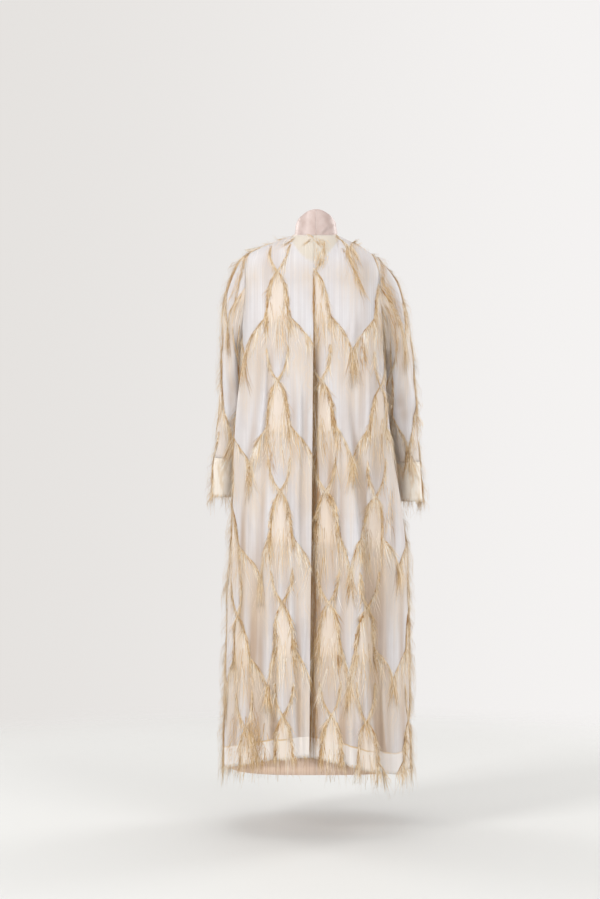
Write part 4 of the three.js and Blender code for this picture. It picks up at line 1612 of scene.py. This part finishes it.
def sleeveGrid(side, columns, rows):
    turn = np.linspace(-0.5, 0.5, columns)[None, :]
    v = np.asarray(rows)[:, None]
    points = sleevePoint(side, turn, v)
    arcs = arcAcross(points)
    middle = columns // 2
    across = arcs - arcs[:, middle : middle + 1]
    start = -sleevePoint(side, turn, np.zeros((1, 1)))[..., 2]
    fine = sleevePoint(side, turn, np.linspace(0, v[0, 0], 12)[:, None])
    down = start + arcDown(fine)[-1:] + arcDown(points)
    return points, across, down


for sideName, side in sides.items():
    name = "sleeve" + title[side]
    outward = -side
    grid = gridOf(sleeveColumnsOf(side))
    sleeveRows = np.linspace(0.004, 7.996, sleeveSize["rows"])
    points, across, down = sleeveGrid(side, sleeveSize["columns"], sleeveRows)
    plain = sleevePoint(side, np.linspace(-0.5, 0.5, sleeveSize["columns"])[None, :], sleeveRows[:, None], False)
    raised, fromAxis = points - plain, plain - plain.mean(1, keepdims=True)
    height = np.linalg.norm(raised[..., :2], axis=-1) * np.sign(np.sum(raised * fromAxis, -1))
    # the sleeve's hollows get the organza's painted shade, weaker than on the body
    relief = 0.6 * troughOf(height * 2.4, 8), np.full((1, 1), -1.0)
    sleeve = shell(name, points, clothLayers(across, down, grid, relief), sleeveSize["thickness"], outward, ring=True)
    finishPiece(sleeve, organzaMaterial, "organza", f"sleeve_{sideName}")
    cuffRows = np.linspace(8.0, 9.0, sleeveSize["cuffRows"])
    cuffPoints, cuffAcross, cuffDown = sleeveGrid(side, sleeveSize["columns"], cuffRows)
    layers = clothLayers(cuffAcross, cuffDown, grid)
    cuff = shell("cuff" + title[side], cuffPoints, layers, sleeveSize["cuffThickness"], outward, ring=True)
    finishPiece(cuff, cuffMaterial, "hem_cloth", f"cuff_{sideName}")
    guidePoints = sleeveGrid(side, 97, np.linspace(0.02, 10, 110))
    inside = insideTest(*sleeveGrid(side, 65, np.linspace(0.06, 8.98, 60))[1:])
    guide = guideObject("guide" + name, *guidePoints, outward)
    guides.append(guide)
    cordPiece = cordObject("cordsSleeve" + title[side], grid, inside, guide)
    finishPiece(cordPiece, None, "thread_fringe")
    edge = cuffAcross[-1], cuffDown[-1]
    threads = threadObject(name, grid, inside, guide, edge, outward)
    finishPiece(threads, None, "thread_fringe", f"fringe_cuff_{sideName}")
    rings = sleevePoint(side, np.linspace(-0.5, 0.5, 193)[None, :], np.linspace(0, 8, 161)[:, None], False)
    print("made", name, len(sleeve.data.polygons), len(cordPiece.data.polygons), len(threads.data.polygons))


# Collar, facing and lining

collar = {
    "inset": 1.1,
    "heightBack": 68,
    "heightSide": 34,
    "heightFront": 24,
    "topHalfWidth": 47,
    "topHalfDepth": 50,
    "frontGap": 26,
    "wall": 1.2,
    "thickness": 1.8,
    "columns": 60,
    "rows": 26,
}
lining = {
    "neck": 8.8,
    "side": 11,
    "flat": 34,
    "top": 0.3,
    "over": 0.9,
    "thickness": 0.8,
    "columns": 36,
    "yokeRows": 12,
    "bodyRows": 56,
}


def collarPoint(side, turn, rise):
    frontAngle = math.acos(collar["frontGap"] / 2 / cut["neckHalfWidth"]) + math.pi / 2
    angle = turn * frontAngle
    s, c = np.sin(angle), np.cos(angle)
    heightAhead = np.where(c > 0, collar["heightBack"], collar["heightFront"])
    height = mix(collar["heightSide"], heightAhead, np.abs(c) ** 1.5)
    lean = rise * (height / collar["heightBack"])
    drop = np.where(c > 0, cut["neckDropBack"], cut["neckDropFront"]) * c * c
    base = -drop - collar["wall"]
    x = mix(cut["neckHalfWidth"] - collar["inset"], collar["topHalfWidth"], lean) * s + panelSize["seamGap"] / 2
    y = mix(cut["neckHalfDepth"] - collar["inset"], collar["topHalfDepth"], lean) * c
    return np.stack([side * x, y, base + (height + collar["wall"]) * rise], -1)


for sideName, side in sides.items():
    turn = np.linspace(0, 1, collar["columns"])[None, :]
    rise = np.linspace(1, 0, collar["rows"])[:, None]
    points = collarPoint(side, *np.broadcast_arrays(turn, rise))
    across, up = arcAcross(points), arcDown(points)
    ends = smooth(across / 14) * smooth((across.max() - across) / 14)
    dents = 1.1 * np.sin(across * 0.09 + up * 0.11 + side) * ends
    off = (across - mix(19, 42, (66 - up) / 33)) * 0.82
    crease = np.exp(-((off / 4.5) ** 2)) * smooth((up - 22) / 16) * smooth((74 - up) / 14)
    crease = crease * (2.4 if side < 0 else 0.8)
    points = points - gridNormals(points) * side * (np.abs(dents) + crease)[..., None]
    layers = {"plane": np.stack([side * across, up], -1) * mm}
    piece = shell("collar" + title[side], points, layers, collar["thickness"], side)
    finishPiece(piece, satinMaterial, "collar_satin", f"collar_{sideName}")

u = np.linspace(-facing["reach"], facing["reach"], 61)[None, :]
share = np.linspace(0, 1, 24)[:, None]
depth = mix(facing["depthCentre"], facing["depthEnds"], (u / facing["reach"]) ** 2)
v = mix(facing["top"], depth, share)
u, v = np.broadcast_arrays(u, v)
halves = [panelPoint(side, 1, np.abs(u), v, "folds") for side in (-1, 1)]
points = np.where((u < 0)[..., None], *halves)
points = points - gridNormals(points) * facing["inset"]
layers = {"plane": np.stack([arcAcross(points), arcDown(points)], -1) * mm}
piece = shell("neckFacing", points, layers, facing["thickness"], 1)
finishPiece(piece, facingMaterial, "facing_cloth", "neck_facing")
lines = points.swapaxes(0, 1)

for faceName, face in faces.items():
    for sideName, side in sides.items():
        rows = levels(lining["yokeRows"], lining["bodyRows"], top=lining["top"])
        u = np.linspace(0, 1, lining["columns"])[None, :]
        v = rows[:, None]
        level = np.minimum(1, v) * np.sin((1 - u) * math.pi / 2) ** 2
        hang = smooth((v - lining["top"]) / lining["over"])
        inset = mix(lining["neck"], mix(lining["side"], lining["flat"], level), hang)
        points, across, down = panelGrid(side, face, lining["columns"], rows, "none", cut["liningHem"], inset=inset)
        layers = clothLayers(across, down)
        name = "lining" + capital(faceName) + title[side]
        piece = shell(name, points, layers, lining["thickness"], side * face)
        nodes = f"lining_{faceName}_{sideName}", f"lining_hem_{faceName}_{sideName}"
        finishPiece(piece, liningMaterial, "lining_cloth", *nodes)
print("made collar, facing and lining")

for guide in guides:
    bpy.data.objects.remove(guide)


# Camera, light and floor

camera = placeObject("camera", bpy.data.cameras.new("camera"))
camera.data.lens = 76.12
camera.data.sensor_width = 36
camera.data.sensor_fit = "AUTO"
camera.location = (0.042, 5.0, -0.561)
camera.rotation_euler = (math.pi / 2, 0, math.pi)
bpy.context.scene.camera = camera


def addLight(name, place, aim, size, power, tint=(1, 1, 1)):
    light = bpy.data.lights.new(name, "AREA")
    light.shape = "RECTANGLE"
    light.size, light.size_y = size
    light.energy = power
    light.color = tint
    obj = placeObject(name, light)
    obj.location = place
    obj.rotation_euler = (Vector(aim) - Vector(place)).to_track_quat("-Z", "Y").to_euler()


addLight("key", (3.6, 3.0, 1.1), (0, 0, -0.6), (1.4, 2.2), 150)
addLight("fill", (-3.2, 3.8, 0.4), (0, 0, -0.7), (2.4, 2.4), 112)
addLight("top", (0.4, -0.6, 3.2), (0, 0, -0.4), (2.5, 2.5), 40)
addLight("rimLeft", (3.2, -2.6, 0.6), (0, 0, -0.7), (1.6, 2.4), 60)
addLight("rimRight", (-3.2, -2.4, 0.6), (0, 0, -0.7), (1.6, 2.4), 75)

world = bpy.data.worlds.new("studio")
world.use_nodes = True
tree = world.node_tree
background = tree.nodes["Background"]
direction = split(tree, tree.nodes.new("ShaderNodeTexCoord").outputs["Generated"])
paler = ramp(tree, direction[0], 0.2, -0.2)
tree.links.new(blendColour(tree, paler, colour(229, 226, 223), colour(245, 243, 242)), background.inputs[0])
seen = tree.nodes.new("ShaderNodeLightPath").outputs["Is Camera Ray"]
tree.links.new(maths(tree, "MULTIPLY_ADD", seen, 0.4, 0.6), background.inputs[1])
bpy.context.scene.world = world
bpy.context.scene.view_settings.view_transform = "Standard"

floorZ = -1.543
floorMesh = bpy.data.meshes.new("floor")
floor = placeObject("floor", floorMesh)
shape = bmesh.new()
bmesh.ops.create_circle(shape, cap_ends=True, segments=96, radius=2.6)
bmesh.ops.translate(shape, verts=shape.verts, vec=(0, 0, floorZ))
shape.to_mesh(floorMesh)
shape.free()
floorMaterial, tree, principled = newMaterial("paleFloor", Roughness=0.6)
principled.inputs["Base Color"].default_value = colour(214, 214, 212)
place = tree.nodes.new("ShaderNodeTexCoord").outputs["Object"]
away = addNode(tree, "ShaderNodeVectorMath", {0: stretched(tree, place, (1, 1, 0))}, operation="LENGTH")
tree.links.new(ramp(tree, away.outputs["Value"], 2.4, 1.4), principled.inputs["Alpha"])
floorMesh.materials.append(floorMaterial)
